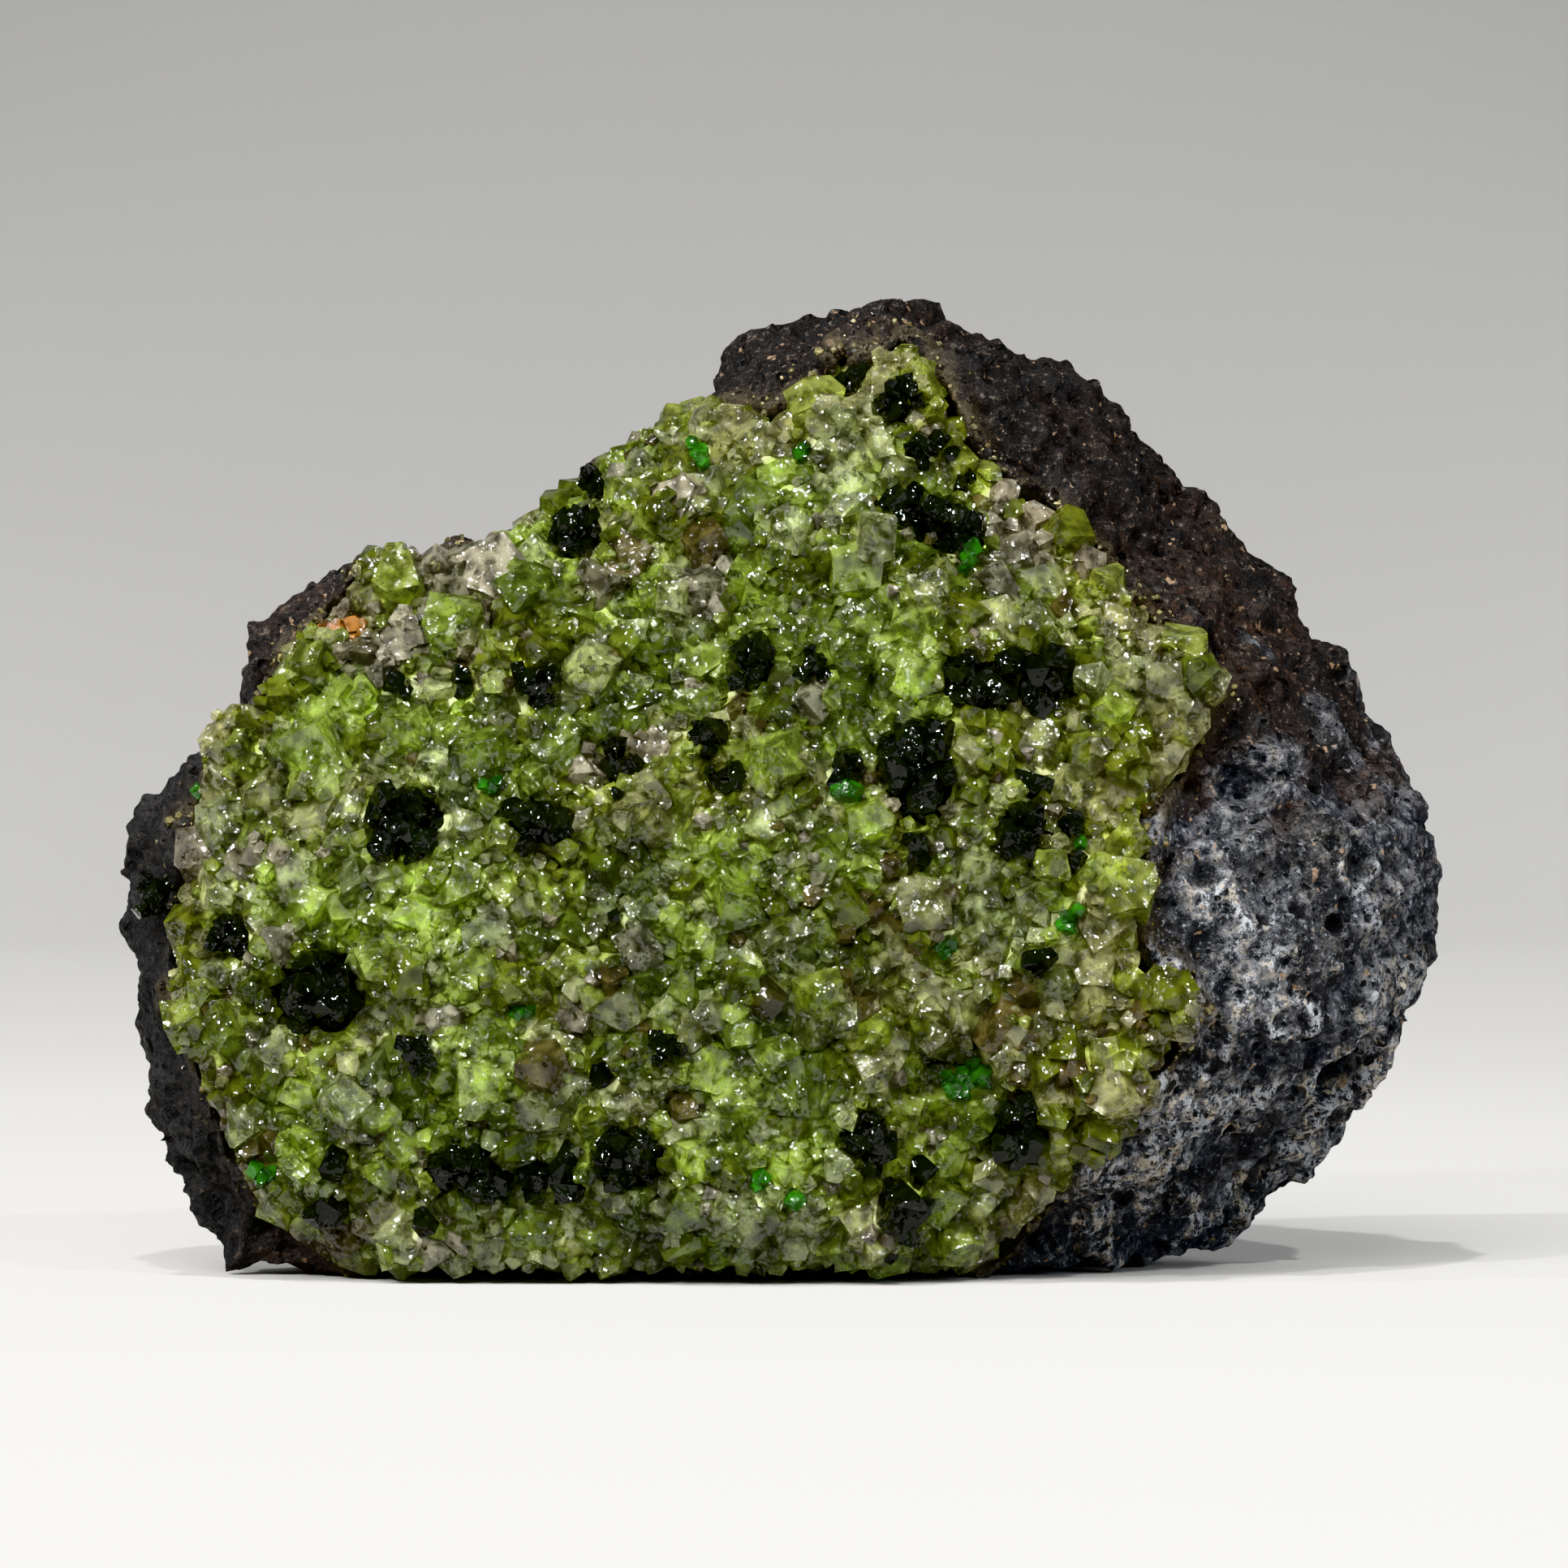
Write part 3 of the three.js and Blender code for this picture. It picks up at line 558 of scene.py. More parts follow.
def crystal_material(name):
    """A clear or milky crystal: its body colour is its grain's, and its depth comes by absorption."""
    look = FINISHES[name]
    material, nodes = new_material(name)
    body = nodes.add("ShaderNodeAttribute", attribute_name="body").outputs["Color"]
    inputs = {"Facet size": look.facet * MM, "Facet tilt": look.tilt, "Wave height": look.wave}
    effect = nodes.add("ShaderNodeGroup", inputs, node_tree=facet_group()).outputs
    shade = nodes.ranged(effect["Cloud"], 0.35, 0.65, 1 - look.mottle, 1 + look.mottle)
    shader = nodes.add("ShaderNodeBsdfPrincipled", {
        "Base Color": nodes.scaled(body, shade),
        "Roughness": nodes.ranged(effect["Polish"], 0.35, 0.65, look.smooth, look.rough),
        "Normal": effect["Normal"],
    })
    shader.inputs["IOR"].default_value = CRYSTAL_IOR
    shader.inputs["Specular IOR Level"].default_value = look.gloss
    shader.inputs["Transmission Weight"].default_value = look.transmission
    output = nodes.add("ShaderNodeOutputMaterial", {"Surface": shader.outputs[0]})
    if look.density:
        absorption = nodes.add("ShaderNodeVolumeAbsorption")
        absorption.inputs["Color"].default_value = (*look.absorb, 1)
        absorption.inputs["Density"].default_value = look.density
        nodes.feed(output.inputs["Volume"], absorption.outputs[0])
    return material


def basalt_tree(material, values):
    """Geometry tree: lumps, gas bubbles and grain that stand out of the rind along its normals."""
    nodes, given, out = geometry_group("Basalt relief", values)
    place = nodes.position()
    normal = nodes.add("GeometryNodeInputNormal").outputs[0]
    shift = nodes.add("ShaderNodeCombineXYZ", {axis: given["Seed"] for axis in range(3)}).outputs[0]

    def at(width):
        return nodes.vector("ADD", nodes.scaled(place, nodes.math("DIVIDE", 1.0, width)), shift)

    broad = nodes.noise(at(given["Lump width"]), 1.0, 3.0, 0.55)
    ridged = nodes.noise(at(nodes.times(given["Lump width"], 0.4)), 1.0, 2.0)
    ridged = nodes.math("ABSOLUTE", nodes.minus(ridged, 0.5))
    lumps = nodes.minus(nodes.minus(broad, 0.5), nodes.times(ridged, 0.8))
    lumps = nodes.times(nodes.minus(lumps, 0.08), given["Lump height"])
    grain = nodes.noise(at(nodes.times(given["Lump width"], 0.22)), 1.0, 2.0, 0.6)
    grain = nodes.times(nodes.minus(grain, 0.5), given["Grain height"])
    pits = 0.0
    for share, width in ((1.0, 1.0), (0.55, 0.43)):
        spot = at(nodes.times(given["Pit spacing"], width))
        chance = nodes.split(nodes.cells(spot, 1.0, "Color"))[0]
        reach = nodes.ranged(chance, 0.35, 1.0, 0.02, 0.5, False)
        bowl = nodes.ranged(nodes.math("DIVIDE", nodes.cells(spot, 1.0), reach), 0.25, 1.0, share, 0.0)
        pits = nodes.math("MAXIMUM", pits, bowl)
    height = nodes.minus(nodes.plus(lumps, grain), nodes.times(pits, given["Pit depth"]))
    lip = nodes.times(nodes.ranged(nodes.near(), 0.5, 1.6, 1.0, 0.0), given["Lip"])
    height = nodes.plus(height, lip)
    height = nodes.add("GeometryNodeBlurAttribute", {"Value": height, "Iterations": 1}, data_type="FLOAT").outputs[0]
    moved = nodes.vector("ADD", place, nodes.scaled(normal, height))
    rind = nodes.placed(given["Geometry"], moved, given)
    rind = nodes.store(rind, "relief", nodes.math("DIVIDE", height, 3.0 * MM), "FLOAT", "POINT")
    # the pit share also sets the painted shade inside the holes
    rind = nodes.store(rind, "pit", pits, "FLOAT", "POINT")
    nodes.finish(rind, material, out)
    return nodes.tree


def spot_mask(nodes, place, centre, reach, ragged):
    """1 inside a ragged patch of the face seen from the front, 0 outside. Sizes in metres."""
    flat = nodes.vector("MULTIPLY", place, (1, 0, 1))
    offset = nodes.vector("SUBTRACT", flat, (centre[0], 0, centre[1]))
    distance = nodes.add("ShaderNodeVectorMath", {0: offset}, operation="LENGTH").outputs["Value"]
    waver = nodes.times(nodes.minus(nodes.noise(place, 220.0, 4.0), 0.5), ragged * 2)
    return nodes.ranged(nodes.plus(nodes.math("DIVIDE", distance, reach), waver), 0.75, 1.15, 1.0, 0.0)


def basalt_material():
    """Dark pitted lava: brown above, blue grey and dusty at the lower right, with iron stains and with painted shade
    on its top, in its crevices, pores and gas holes.
    """
    colours = bpy.context.scene.specimen_basalt
    material, nodes = new_material("Basalt rind")
    place = nodes.object_place()
    across, _, up = nodes.split(place)
    relief, pit, near = (
        nodes.add("ShaderNodeAttribute", attribute_name=name).outputs["Fac"] for name in ("relief", "pit", "near"))
    warped = nodes.bend(place, 1200.0, 1.0, 0.7 * MM)
    blotch = nodes.noise(place, 300.0, 4.0, 0.65)
    rough = nodes.noise(place, 850.0, 4.0, 0.7)
    grit = nodes.noise(place, 2600.0, 4.0, 0.75)
    streak = nodes.noise(nodes.vector("MULTIPLY", place, (1.0, 1.0, 0.8)), 1700.0, 5.0, 0.8)

    grey_zone = spot_mask(nodes, place, *GREY_ZONE)
    left_zone = nodes.times(
        nodes.ranged(across, -27.0 * MM, -34.0 * MM), nodes.ranged(up, 38.0 * MM, 33.0 * MM))
    rust = nodes.times(
        nodes.ranged(nodes.noise(place, 1100.0, 3.0, 0.7), 0.53, 0.64),
        nodes.minus(0.6, nodes.times(grey_zone, 0.5)))
    shadow = nodes.ranged(nodes.noise(place, 170.0, 3.0, 0.6), 0.44, 0.58, 0.0, 0.7)
    dusty = nodes.times(spot_mask(nodes, place, *DUST_ZONE), 0.9)
    dusty = nodes.plus(dusty, nodes.times(grey_zone, nodes.ranged(up, 18.0 * MM, 7.0 * MM, 0.4, 1.5)))
    dusty = nodes.times(nodes.times(dusty, nodes.ranged(relief, -0.35, 0.15)), nodes.ranged(streak, 0.45, 0.6))
    tan = nodes.ranged(nodes.noise(place, 1300.0, 2.0, 0.5), 0.68, 0.72, 0.0, 0.7)
    ash = nodes.mix(nodes.ranged(rough, 0.4, 0.64), DARK_ASH, LIGHT_ASH)
    edge = nodes.times(nodes.ranged(near, 0.3, 2.4, 0.75, 0.0), nodes.ranged(blotch, 0.46, 0.56))
    pores = 0.0
    for density in (750.0, 1700.0):
        reach = nodes.ranged(nodes.split(nodes.cells(warped, density, "Color"))[0], 0.5, 1.0, 0.02, 0.42, False)
        pore = nodes.ranged(nodes.math("DIVIDE", nodes.cells(warped, density), reach), 0.55, 1.0, 1.0, 0.0)
        pores = nodes.math("MAXIMUM", pores, pore)

    # Layers from the ground up: the share of each and its colour.
    body = nodes.mix(grey_zone, tuple(colours.brown), tuple(colours.grey))
    for share, tone in (
            (nodes.ranged(rough, 0.42, 0.62), nodes.mix(grey_zone, LIGHT_BROWN, LIGHT_GREY)),
            (rust, tuple(colours.rust)),
            (shadow, SHADOW),
            # painted shade: the rind darker towards its top
            (nodes.ranged(up, 36.0 * MM, 50.0 * MM, 0.0, 0.7), TOP_SHADE),
            (nodes.ranged(blotch, 0.49, 0.62, 0.0, 0.7), BLOTCH),
            (nodes.math("MINIMUM", dusty, 0.95),
             nodes.mix(nodes.ranged(rough, 0.5, 0.56), tuple(colours.dust), WARM_DUST)),
            (nodes.ranged(grit, 0.56, 0.68, 0.0, 0.7), nodes.mix(grey_zone, BROWN_SPECK, GREY_SPECK)),
            (tan, TAN_SPECK),
            (nodes.times(left_zone, 0.85), ash),
            (edge, EDGE_STAIN),
            # painted shade where the fine grain lies low
            (nodes.ranged(grit, 0.46, 0.34, 0.0, 0.8), CREVICE_SHADE),
            # painted shade in the pores
            (nodes.times(pores, 0.85), PORE_SHADE),
            # painted shade inside the gas holes, deeper where the pit is deeper
            (nodes.ranged(pit, 0.15, 0.9, 0.0, 0.92), PIT_SHADE)):
        body = nodes.mix(share, body, tone)
    height = nodes.minus(nodes.plus(nodes.times(grit, 0.5), rough), pores)
    bump = nodes.add("ShaderNodeBump", {"Strength": 1.0, "Distance": 0.5 * MM, "Height": height}).outputs[0]
    shader = nodes.add("ShaderNodeBsdfPrincipled", {
        "Base Color": body, "Roughness": nodes.ranged(grit, 0.35, 0.65, 0.9, 0.45), "Normal": bump})
    shader.inputs["Specular IOR Level"].default_value = 0.35
    nodes.add("ShaderNodeOutputMaterial", {"Surface": shader.outputs[0]})
    return material


def refine_front(obj, mass):
    """Halves the faces of the rind that show from the front, clear of the crystal mass."""
    work = bmesh.new()
    work.from_mesh(obj.data)
    edges = set()
    for face in work.faces:
        centre = face.calc_center_median()
        facing = face.normal.y < FINE_FACING[0] or face.normal.z > FINE_FACING[1]
        if facing and centre.y < FINE_BEFORE and centre.z > FINE_ABOVE and mass.find_nearest(centre)[3] > FINE_CLEAR:
            edges.update(face.edges)
    bmesh.ops.subdivide_edges(work, edges=list(edges), cuts=1, use_grid_fill=True)
    bmesh.ops.triangulate(work, faces=[face for face in work.faces if len(face.verts) > 4])
    work.to_mesh(obj.data)
    work.free()


def store_nearness(obj, mass):
    """Keeps each point's distance from the crystal mass, in millimetres."""
    distances = [mass.find_nearest(vert.co)[3] / MM for vert in obj.data.vertices]
    attribute = obj.data.attributes.new("near", "FLOAT", "POINT")
    attribute.data.foreach_set("value", distances)


def values_of(items, field, width=1, kind=float):
    """A field of many mesh items as one array, of a row for each where it is wide."""
    values = np.empty(len(items) * width, dtype=kind)
    items.foreach_get(field, values)
    return values.reshape(-1, width) if width > 1 else values


def press_pits(obj):
    """Presses the larger gas holes into the rind's front, each with a low rim, painted shade inside and a painted
    highlight on the rim.
    """
    face = tree_of(obj)
    mesh = obj.data
    places = values_of(mesh.vertices, "co", 3)
    shade, raised = (mesh.attributes[name].data for name in ("pit", "relief"))
    depths, heights = values_of(shade, "value"), values_of(raised, "value")
    for x, z, radius, share in RIND_PITS:
        point, normal, _, _ = face.ray_cast(Vector((x * MM, IN_FRONT, z * MM)), BACKWARD)
        if point is None:
            raise RuntimeError(f"no rind at the pit {x}, {z}")
        away = np.linalg.norm(places - np.array(point), axis=1) / (radius * MM)
        bowl = np.clip(1 - away ** 2, 0, 1)
        rim = np.exp(-((away - RIM_PLACE) / RIM_WIDTH) ** 2) * RIM_HEIGHT
        places -= np.outer(radius * MM * (bowl * share - rim), np.array(normal))
        # painted highlight: the rim counts as higher, so that more light dust covers it
        heights += rim * RIM_LIGHT
        # the deeper share also gives the painted shade inside the hole
        depths = np.maximum(depths, np.clip(bowl * 1.5 * min(share, 0.9), 0, 1))
    mesh.vertices.foreach_set("co", np.clip(places, LOW_CORNER, HIGH_CORNER).ravel())
    shade.foreach_set("value", depths)
    raised.foreach_set("value", heights)
    mesh.update()


def grit_tree(material, values):
    """Geometry tree: small broken grains scattered over a surface, thinning out away from the crystals."""
    nodes, given, out = geometry_group("Fringe grit", values)
    near = nodes.near()
    thick = nodes.math("POWER", nodes.ranged(nodes.math("DIVIDE", near, given["Reach"]), 0.0, 1.0, 1.0, 0.0), 2.0)
    thick = nodes.times(thick, nodes.math("GREATER_THAN", near, 0.4))
    clumps = nodes.ranged(nodes.noise(nodes.position(), 420.0, 2.0), 0.42, 0.6)
    scatter = nodes.add("GeometryNodeDistributePointsOnFaces", {
        "Mesh": given["Geometry"], "Density": nodes.times(nodes.times(thick, clumps), given["Density"]),
        "Seed": given["Seed"]}, distribute_method="RANDOM").outputs
    grain = nodes.add("GeometryNodeMeshIcoSphere", {"Radius": 1.0, "Subdivisions": 1}).outputs["Mesh"]

    def chance(data_type, low, high, salt):
        least, most, value = {"FLOAT": (2, 3, 1), "FLOAT_VECTOR": (0, 1, 0)}[data_type]
        inputs = {least: low, most: high, "Seed": salt}
        return nodes.add("FunctionNodeRandomValue", inputs, data_type=data_type).outputs[value]

    turn = chance("FLOAT_VECTOR", (0, 0, 0), (6.283, 6.283, 6.283), 3)
    size = nodes.math("POWER", chance("FLOAT", 0.0, 1.0, 5), 2.0)
    size = nodes.plus(given["Smallest"], nodes.times(size, nodes.minus(given["Largest"], given["Smallest"])))
    stretch = nodes.scaled(chance("FLOAT_VECTOR", (0.6, 0.6, 0.6), (1.25, 1.25, 1.25), 7), size)
    grains = nodes.add("GeometryNodeInstanceOnPoints", {
        "Points": scatter["Points"], "Instance": grain, "Rotation": turn, "Scale": stretch}).outputs[0]
    tone = chance("FLOAT", 0.0, 1.0, 9)
    body = (0.03, 0.026, 0.02, 1)
    for low, high, shade in (
            (0.3, 0.4, (0.1, 0.08, 0.04, 1)), (0.55, 0.65, (0.13, 0.115, 0.05, 1)),
            (0.85, 0.9, (0.2, 0.175, 0.1, 1))):
        body = nodes.mix(nodes.ranged(tone, low, high), body, shade)
    grains = nodes.store(grains, "body", body, "FLOAT_COLOR", "INSTANCE")
    whole = nodes.add("GeometryNodeRealizeInstances", {"Geometry": grains}).outputs[0]
    nodes.finish(nodes.placed(whole, nodes.position(), given), material, out)
    return nodes.tree


def make_grit():
    """Grit of broken crystal and lava where the rind meets the crystals."""
    sizes = bpy.context.scene.specimen_crystals
    grit = link("fringe_grit", bpy.data.objects["basalt_rind"].data.copy())
    run_tree(grit, grit_tree, crystal_material("Grit"), {
        "Density": sizes.grit_density,
        "Reach": sizes.grit_reach / MM,
        "Smallest": GRIT_RADII[0],
        "Largest": GRIT_RADII[1],
        "Seed": sizes.seed,
    })
    grit.data.shade_flat()
    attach(grit, BODY)


def make_basalt():
    """The basalt rind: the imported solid's shape with fine relief."""
    sizes = bpy.context.scene.specimen_basalt
    mass = tree_of(bpy.data.objects["peridot_mass"])
    rind = merged_copy("basalt_matrix", "basalt_rind")
    voxel_skin(rind, sizes.voxel)
    refine_front(rind, mass)
    store_nearness(rind, mass)
    run_tree(rind, basalt_tree, basalt_material(), {
        "Lump height": sizes.lump_height,
        "Lump width": sizes.lump_width,
        "Pit depth": sizes.pit_depth,
        "Pit spacing": sizes.pit_width,
        "Grain height": sizes.grain_height,
        "Lip": sizes.lip,
        "Seed": float(sizes.seed),
    })
    press_pits(rind)
    rind.data.shade_smooth()
    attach(rind, BODY)
    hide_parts("basalt_matrix")


def ground_tree(material, values):
    """Geometry tree: sinks the ground between the grains and roughens it."""
    nodes, given, out = geometry_group("Crystal ground", values)
    place = nodes.position()
    normal = nodes.add("GeometryNodeInputNormal").outputs[0]
    lumps = nodes.cells(nodes.scaled(place, nodes.math("DIVIDE", 1.0, given["Width"])), 1.0)
    height = nodes.minus(nodes.times(nodes.minus(0.5, lumps), given["Roughness"]), given["Sink"])
    moved = nodes.vector("ADD", place, nodes.scaled(normal, height))
    nodes.finish(nodes.placed(given["Geometry"], moved, given), material, out)
    return nodes.tree


def surface_points(obj, count, random):
    """Points spread by area over an object's mesh, with their normals."""
    mesh = obj.data
    mesh.calc_loop_triangles()
    corners = values_of(mesh.loop_triangles, "vertices", 3, np.int32)
    a, b, c = values_of(mesh.vertices, "co", 3)[corners].transpose(1, 0, 2)
    across = np.cross(b - a, c - a)
    doubled = np.linalg.norm(across, axis=1)
    chosen = random.choice(len(doubled), size=count, p=doubled / doubled.sum())
    u = random.random(count)[:, None]
    v = random.random(count)[:, None]
    flip = u + v > 1
    u = np.where(flip, 1 - u, u)
    v = np.where(flip, 1 - v, v)
    points = a[chosen] + u * (b - a)[chosen] + v * (c - a)[chosen]
    return points, across[chosen] / doubled[chosen][:, None]


class GrainBed:
    """The grains placed so far: centres, radii, minerals, colours and the room that each keeps clear."""

    def __init__(self, closeness):
        self.closeness = closeness
        self.count = 0
        self.centres = np.zeros((MOST_GRAINS, 3))
        self.radii = np.zeros(MOST_GRAINS)
        self.clear = np.zeros(MOST_GRAINS)
        self.minerals = []
        self.colours = []

    def has_room(self, centre, radius, closeness=None):
        near = self.centres[:self.count] - centre
        distance = np.sqrt((near * near).sum(axis=1))
        share = closeness or self.clear[:self.count]
        return not (distance < share * (self.radii[:self.count] + radius)).any()

    def put(self, centre, radius, mineral):
        self.centres[self.count] = centre
        self.radii[self.count] = radius
        self.clear[self.count] = self.closeness if mineral in PATCH_MINERALS else ROOM_AROUND_DARK
        self.minerals.append(mineral)
        self.count += 1

    def members(self, minerals):
        return [index for index in range(self.count) if self.minerals[index] in minerals]


def in_patch(x, z, mineral, waver):
    """Whether a place of the face, in millimetres, lies in a patch of a mineral."""
    return any(math.hypot(x - px, z - pz) < reach * waver for px, pz, reach in PATCHES[mineral])


def mineral_at(point, random):
    """The mineral of a grain, from the patch that it lies in or by chance."""
    waver = 0.75 + 0.5 * random.random()
    if random.random() < PATCH_STRENGTH:
        for mineral in PATCH_MINERALS:
            if in_patch(point[0] / MM, point[2] / MM, mineral, waver):
                return mineral if mineral != "brown" else str(random.choice(("brown", "olive", "pale")))
    return str(random.choice(list(LOOSE_SHARES), p=list(LOOSE_SHARES.values())))


def pack_room(bed, middle, half, mineral, largest, smallest, random, tries, ragged, closeness):
    """Packs a ragged room with grains of falling size."""
    shift = Vector(random.uniform(-50, 50, 3))
    for attempt in range(tries):
        size = (largest + (smallest - largest) * attempt / tries) * random.uniform(0.85, 1.15)
        offset = random.uniform(-1, 1, 3) * min(1, 5 * attempt / tries)
        lobe = noise.noise(Vector(offset * half) / LOBE_WIDTH + shift)
        if np.linalg.norm(offset) > min(ROOM_EDGE + ragged * lobe, ROOM_LIMIT):
            continue
        centre = middle + offset * np.maximum(half - size * 0.2, 0.05 * MM)
        if centre[2] > size * CLEAR_OF_FLOOR and bed.has_room(centre, size, closeness):
            bed.put(centre, size, mineral)


def place_black_clusters(bed, random):
    """Packs each black node's room with black grains."""
    for node in BLACK_NODES:
        low, high = (np.array(corner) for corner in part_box(node))
        half = (high - low) / 2
        largest = min(BLACK_SHARE * min(half[0], half[2]), BLACK_RADII[1])
        middle = (low + high) / 2 - BLACK_FORWARD
        pack_room(bed, middle, half, "dark", largest, BLACK_RADII[0], random, **BLACK_PACKING)


def place_patches(bed, face, rind, mineral, random):
    """Packs the patches of one mineral with grains at the surface that shows from the front."""
    for x, z, reach in PATCHES[mineral]:
        start = Vector((x * MM, IN_FRONT, z * MM))
        point, normal, _, _ = face.ray_cast(start, BACKWARD)
        if point is None:
            point, normal, _, _ = rind.ray_cast(start, BACKWARD)
        if point is None:
            raise RuntimeError(f"no surface at the {mineral} patch {x}, {z}")
        largest = min(PATCH_SHARE * reach, PATCH_RADII[1]) * MM
        middle = np.array(point - normal * largest * PACKED_DEPTHS[mineral])
        half = np.array((reach, PATCH_DEPTH * reach, reach)) * MM
        pack_room(bed, middle, half, mineral, largest, PATCH_RADII[0] * MM, random, **PATCH_PACKING)


def place_grains(bed, mass, basalt, random):
    """Throws grains of falling size on the crystal face, each with room of its own."""
    sizes = bpy.context.scene.specimen_crystals
    face = tree_of(mass)
    rind = tree_of(basalt)
    place_black_clusters(bed, random)
    for mineral in PACKED_DEPTHS:
        place_patches(bed, face, rind, mineral, random)
    for least, largest, setting, shallow, deep in GRAIN_CLASSES:
        least, largest = least * MM * sizes.size, largest * MM * sizes.size
        most = getattr(sizes, setting)
        placed = 0
        for point, normal in zip(*surface_points(mass, most * TRIES_FOR_EACH, random)):
            if placed >= most:
                break
            radius = least + (largest - least) * random.random() ** 1.5
            sink = shallow + (deep - shallow) * random.random()
            centre = point - normal * radius * sink
            low = point[2] < LOWEST_GRAIN or centre[2] < radius * CLEAR_OF_FLOOR
            proud = centre[1] - radius < LOW_CORNER.y + CLEAR_OF_BOX
            if low or proud or radius > LARGE_RADIUS and normal[1] > LARGE_FACING:
                continue
            if rind.find_nearest(Vector(point))[3] < max(CLEAR_OF_RIND, CLEAR_SHARE * radius):
                continue
            if bed.has_room(centre, radius):
                bed.put(centre, radius, mineral_at(point, random))
                placed += 1


@cache
def plane_triples(count):
    """Every choice of three planes out of a count."""
    return np.array(list(combinations(range(count), 3))).T


def convex_cell(normals, offsets):
    """Corners and faces of the convex body inside a set of planes."""
    i, j, k = plane_triples(len(normals))
    a, b, c = normals[i], normals[j], normals[k]
    bc = np.cross(b, c)
    volume = (a * bc).sum(axis=1)
    solvable = np.abs(volume) > 1e-3
    i, j, k, a, b, c, bc, volume = (x[solvable] for x in (i, j, k, a, b, c, bc, volume))
    corners = offsets[i][:, None] * bc + offsets[j][:, None] * np.cross(c, a) + offsets[k][:, None] * np.cross(a, b)
    corners /= volume[:, None]
    inside = (corners @ normals.T <= offsets + 1e-9).all(axis=1)
    corners = corners[inside]
    owners = np.stack([i[inside], j[inside], k[inside]], axis=1)
    faces = []
    for plane in range(len(normals)):
        members = np.flatnonzero((owners == plane).any(axis=1))
        if len(members) < 3:
            continue
        normal = normals[plane]
        side = np.cross(normal, ASKEW)
        side /= np.linalg.norm(side)
        flat = corners[members] - corners[members].mean(axis=0)
        angle = np.arctan2(flat @ np.cross(normal, side), flat @ side)
        faces.append(members[np.argsort(angle)])
    return corners, faces


def crystal_planes(radius, count, random):
    """Planes of one broken crystal: evenly spread directions, shaken and turned, at uneven distances."""
    spiral = np.arange(count) + 0.5
    height = 1 - 2 * spiral / count
    turn = spiral * GOLDEN_ANGLE
    ring = np.sqrt(1 - height * height)
    normals = np.stack([ring * np.cos(turn), ring * np.sin(turn), height], axis=1)
    normals += random.normal(0, PLANE_SHAKE, normals.shape)
    normals /= np.linalg.norm(normals, axis=1)[:, None]
    normals = normals @ np.linalg.qr(random.normal(size=(3, 3)))[0]
    return normals, radius * random.uniform(*PLANE_REACH, count)


def body_colour(mineral, centre, random, rind):
    """Colour of a grain, from its mineral and from where it lies."""
    spot = Vector(centre) / MM
    tone = 0.5 + 0.9 * noise.noise(spot * 0.16) + 0.6 * noise.noise(spot * 0.4) + random.uniform(-0.4, 0.4)
    warmth = 0.2 + 0.7 * noise.noise(spot * 0.13 + Vector((9.1, 3.3, 5.7))) + random.uniform(-0.2, 0.2)
    rim = max(0, 1 - rind.find_nearest(Vector(centre))[3] / RIM_REACH)
    warmth += 0.5 * min(max((spot.x - 2) / 16, 0), 1) + 0.9 * rim
    tone -= 0.35 * rim
    if in_patch(spot.x, spot.z, "lime", 1.0):
        warmth -= 0.5
        tone += 0.25
    light = np.array(getattr(bpy.context.scene.specimen_crystals, mineral))
    body = light * (DARK_SHADE + (1 - DARK_SHADE) * min(max(tone, 0), 1))
    return body + (light * WARM_SHADE - body) * 0.8 * min(max(warmth, 0), 1)


def grain_mesh(name, bed, members, random, planes):
    """One joined mesh of the given grains, each an angular crystal with its colour."""
    corners = []
    faces = []
    colours = []
    for index in members:
        radius = bed.radii[index]
        own, polygons = convex_cell(*crystal_planes(radius, random.integers(*planes), random))
        if len(own) < 4:
            continue
        start = len(corners)
        reach = np.linalg.norm(own, axis=1)[:, None]
        own *= np.minimum(1, CORNER_REACH * radius / reach)
        corners.extend(np.clip(own + bed.centres[index], LOW_CORNER, HIGH_CORNER).tolist())
        faces.extend([start + int(corner) for corner in polygon] for polygon in polygons)
        colours.extend([bed.colours[index]] * len(own))
    mesh = bpy.data.meshes.new(name)
    mesh.from_pydata(corners, [], faces)
    store_colours(mesh, colours)
    mesh.validate()
    return mesh


def store_colours(mesh, colours):
    """Keeps one colour for each corner point of a mesh."""
    values = np.ones((len(mesh.vertices), 4), dtype=np.float32)
    values[:, :3] = np.array(colours)
    attribute = mesh.attributes.new("body", "FLOAT_COLOR", "POINT")
    attribute.data.foreach_set("color", values.ravel())


def crust_colours(obj, bed, members):
    """Colours the crust by its nearest grains, with painted shade where it sinks between them."""
    tree = kdtree.KDTree(len(members))
    for index in members:
        tree.insert(bed.centres[index], index)
    tree.balance()
    colours = []
    for vert in obj.data.vertices:
        spot = vert.co
        best = None
        for _, index, distance in tree.find_n(spot, NEAREST_GRAINS):
            power = (distance / bed.radii[index]) ** 2
            if best is None or power < best[0]:
                best = (power, index)
        # painted shade: the crust darker where it lies deep between grains
        sunk_shade = min(max((best[0] - 1.1) / 0.8, 0), 1)
        colours.append(bed.colours[best[1]] * (1 - 0.6 * sunk_shade))
    store_colours(obj.data, colours)


def make_crust(bed, mass):
    """The ground that the grains grew from, coloured as they are."""
    sizes = bpy.context.scene.specimen_crystals
    crust = link("peridot_crust", mass.data.copy())
    voxel_skin(crust, sizes.crust_voxel)
    run_tree(crust, ground_tree, crystal_material("Peridot ground"), {
        "Sink": sizes.ground_sink, "Roughness": GROUND_RELIEF, "Width": GROUND_CELL})
    crust_colours(crust, bed, bed.members(PATCH_MINERALS))
    crust.data.shade_smooth()
    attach(crust, BODY)
    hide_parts("peridot_mass")
    return crust


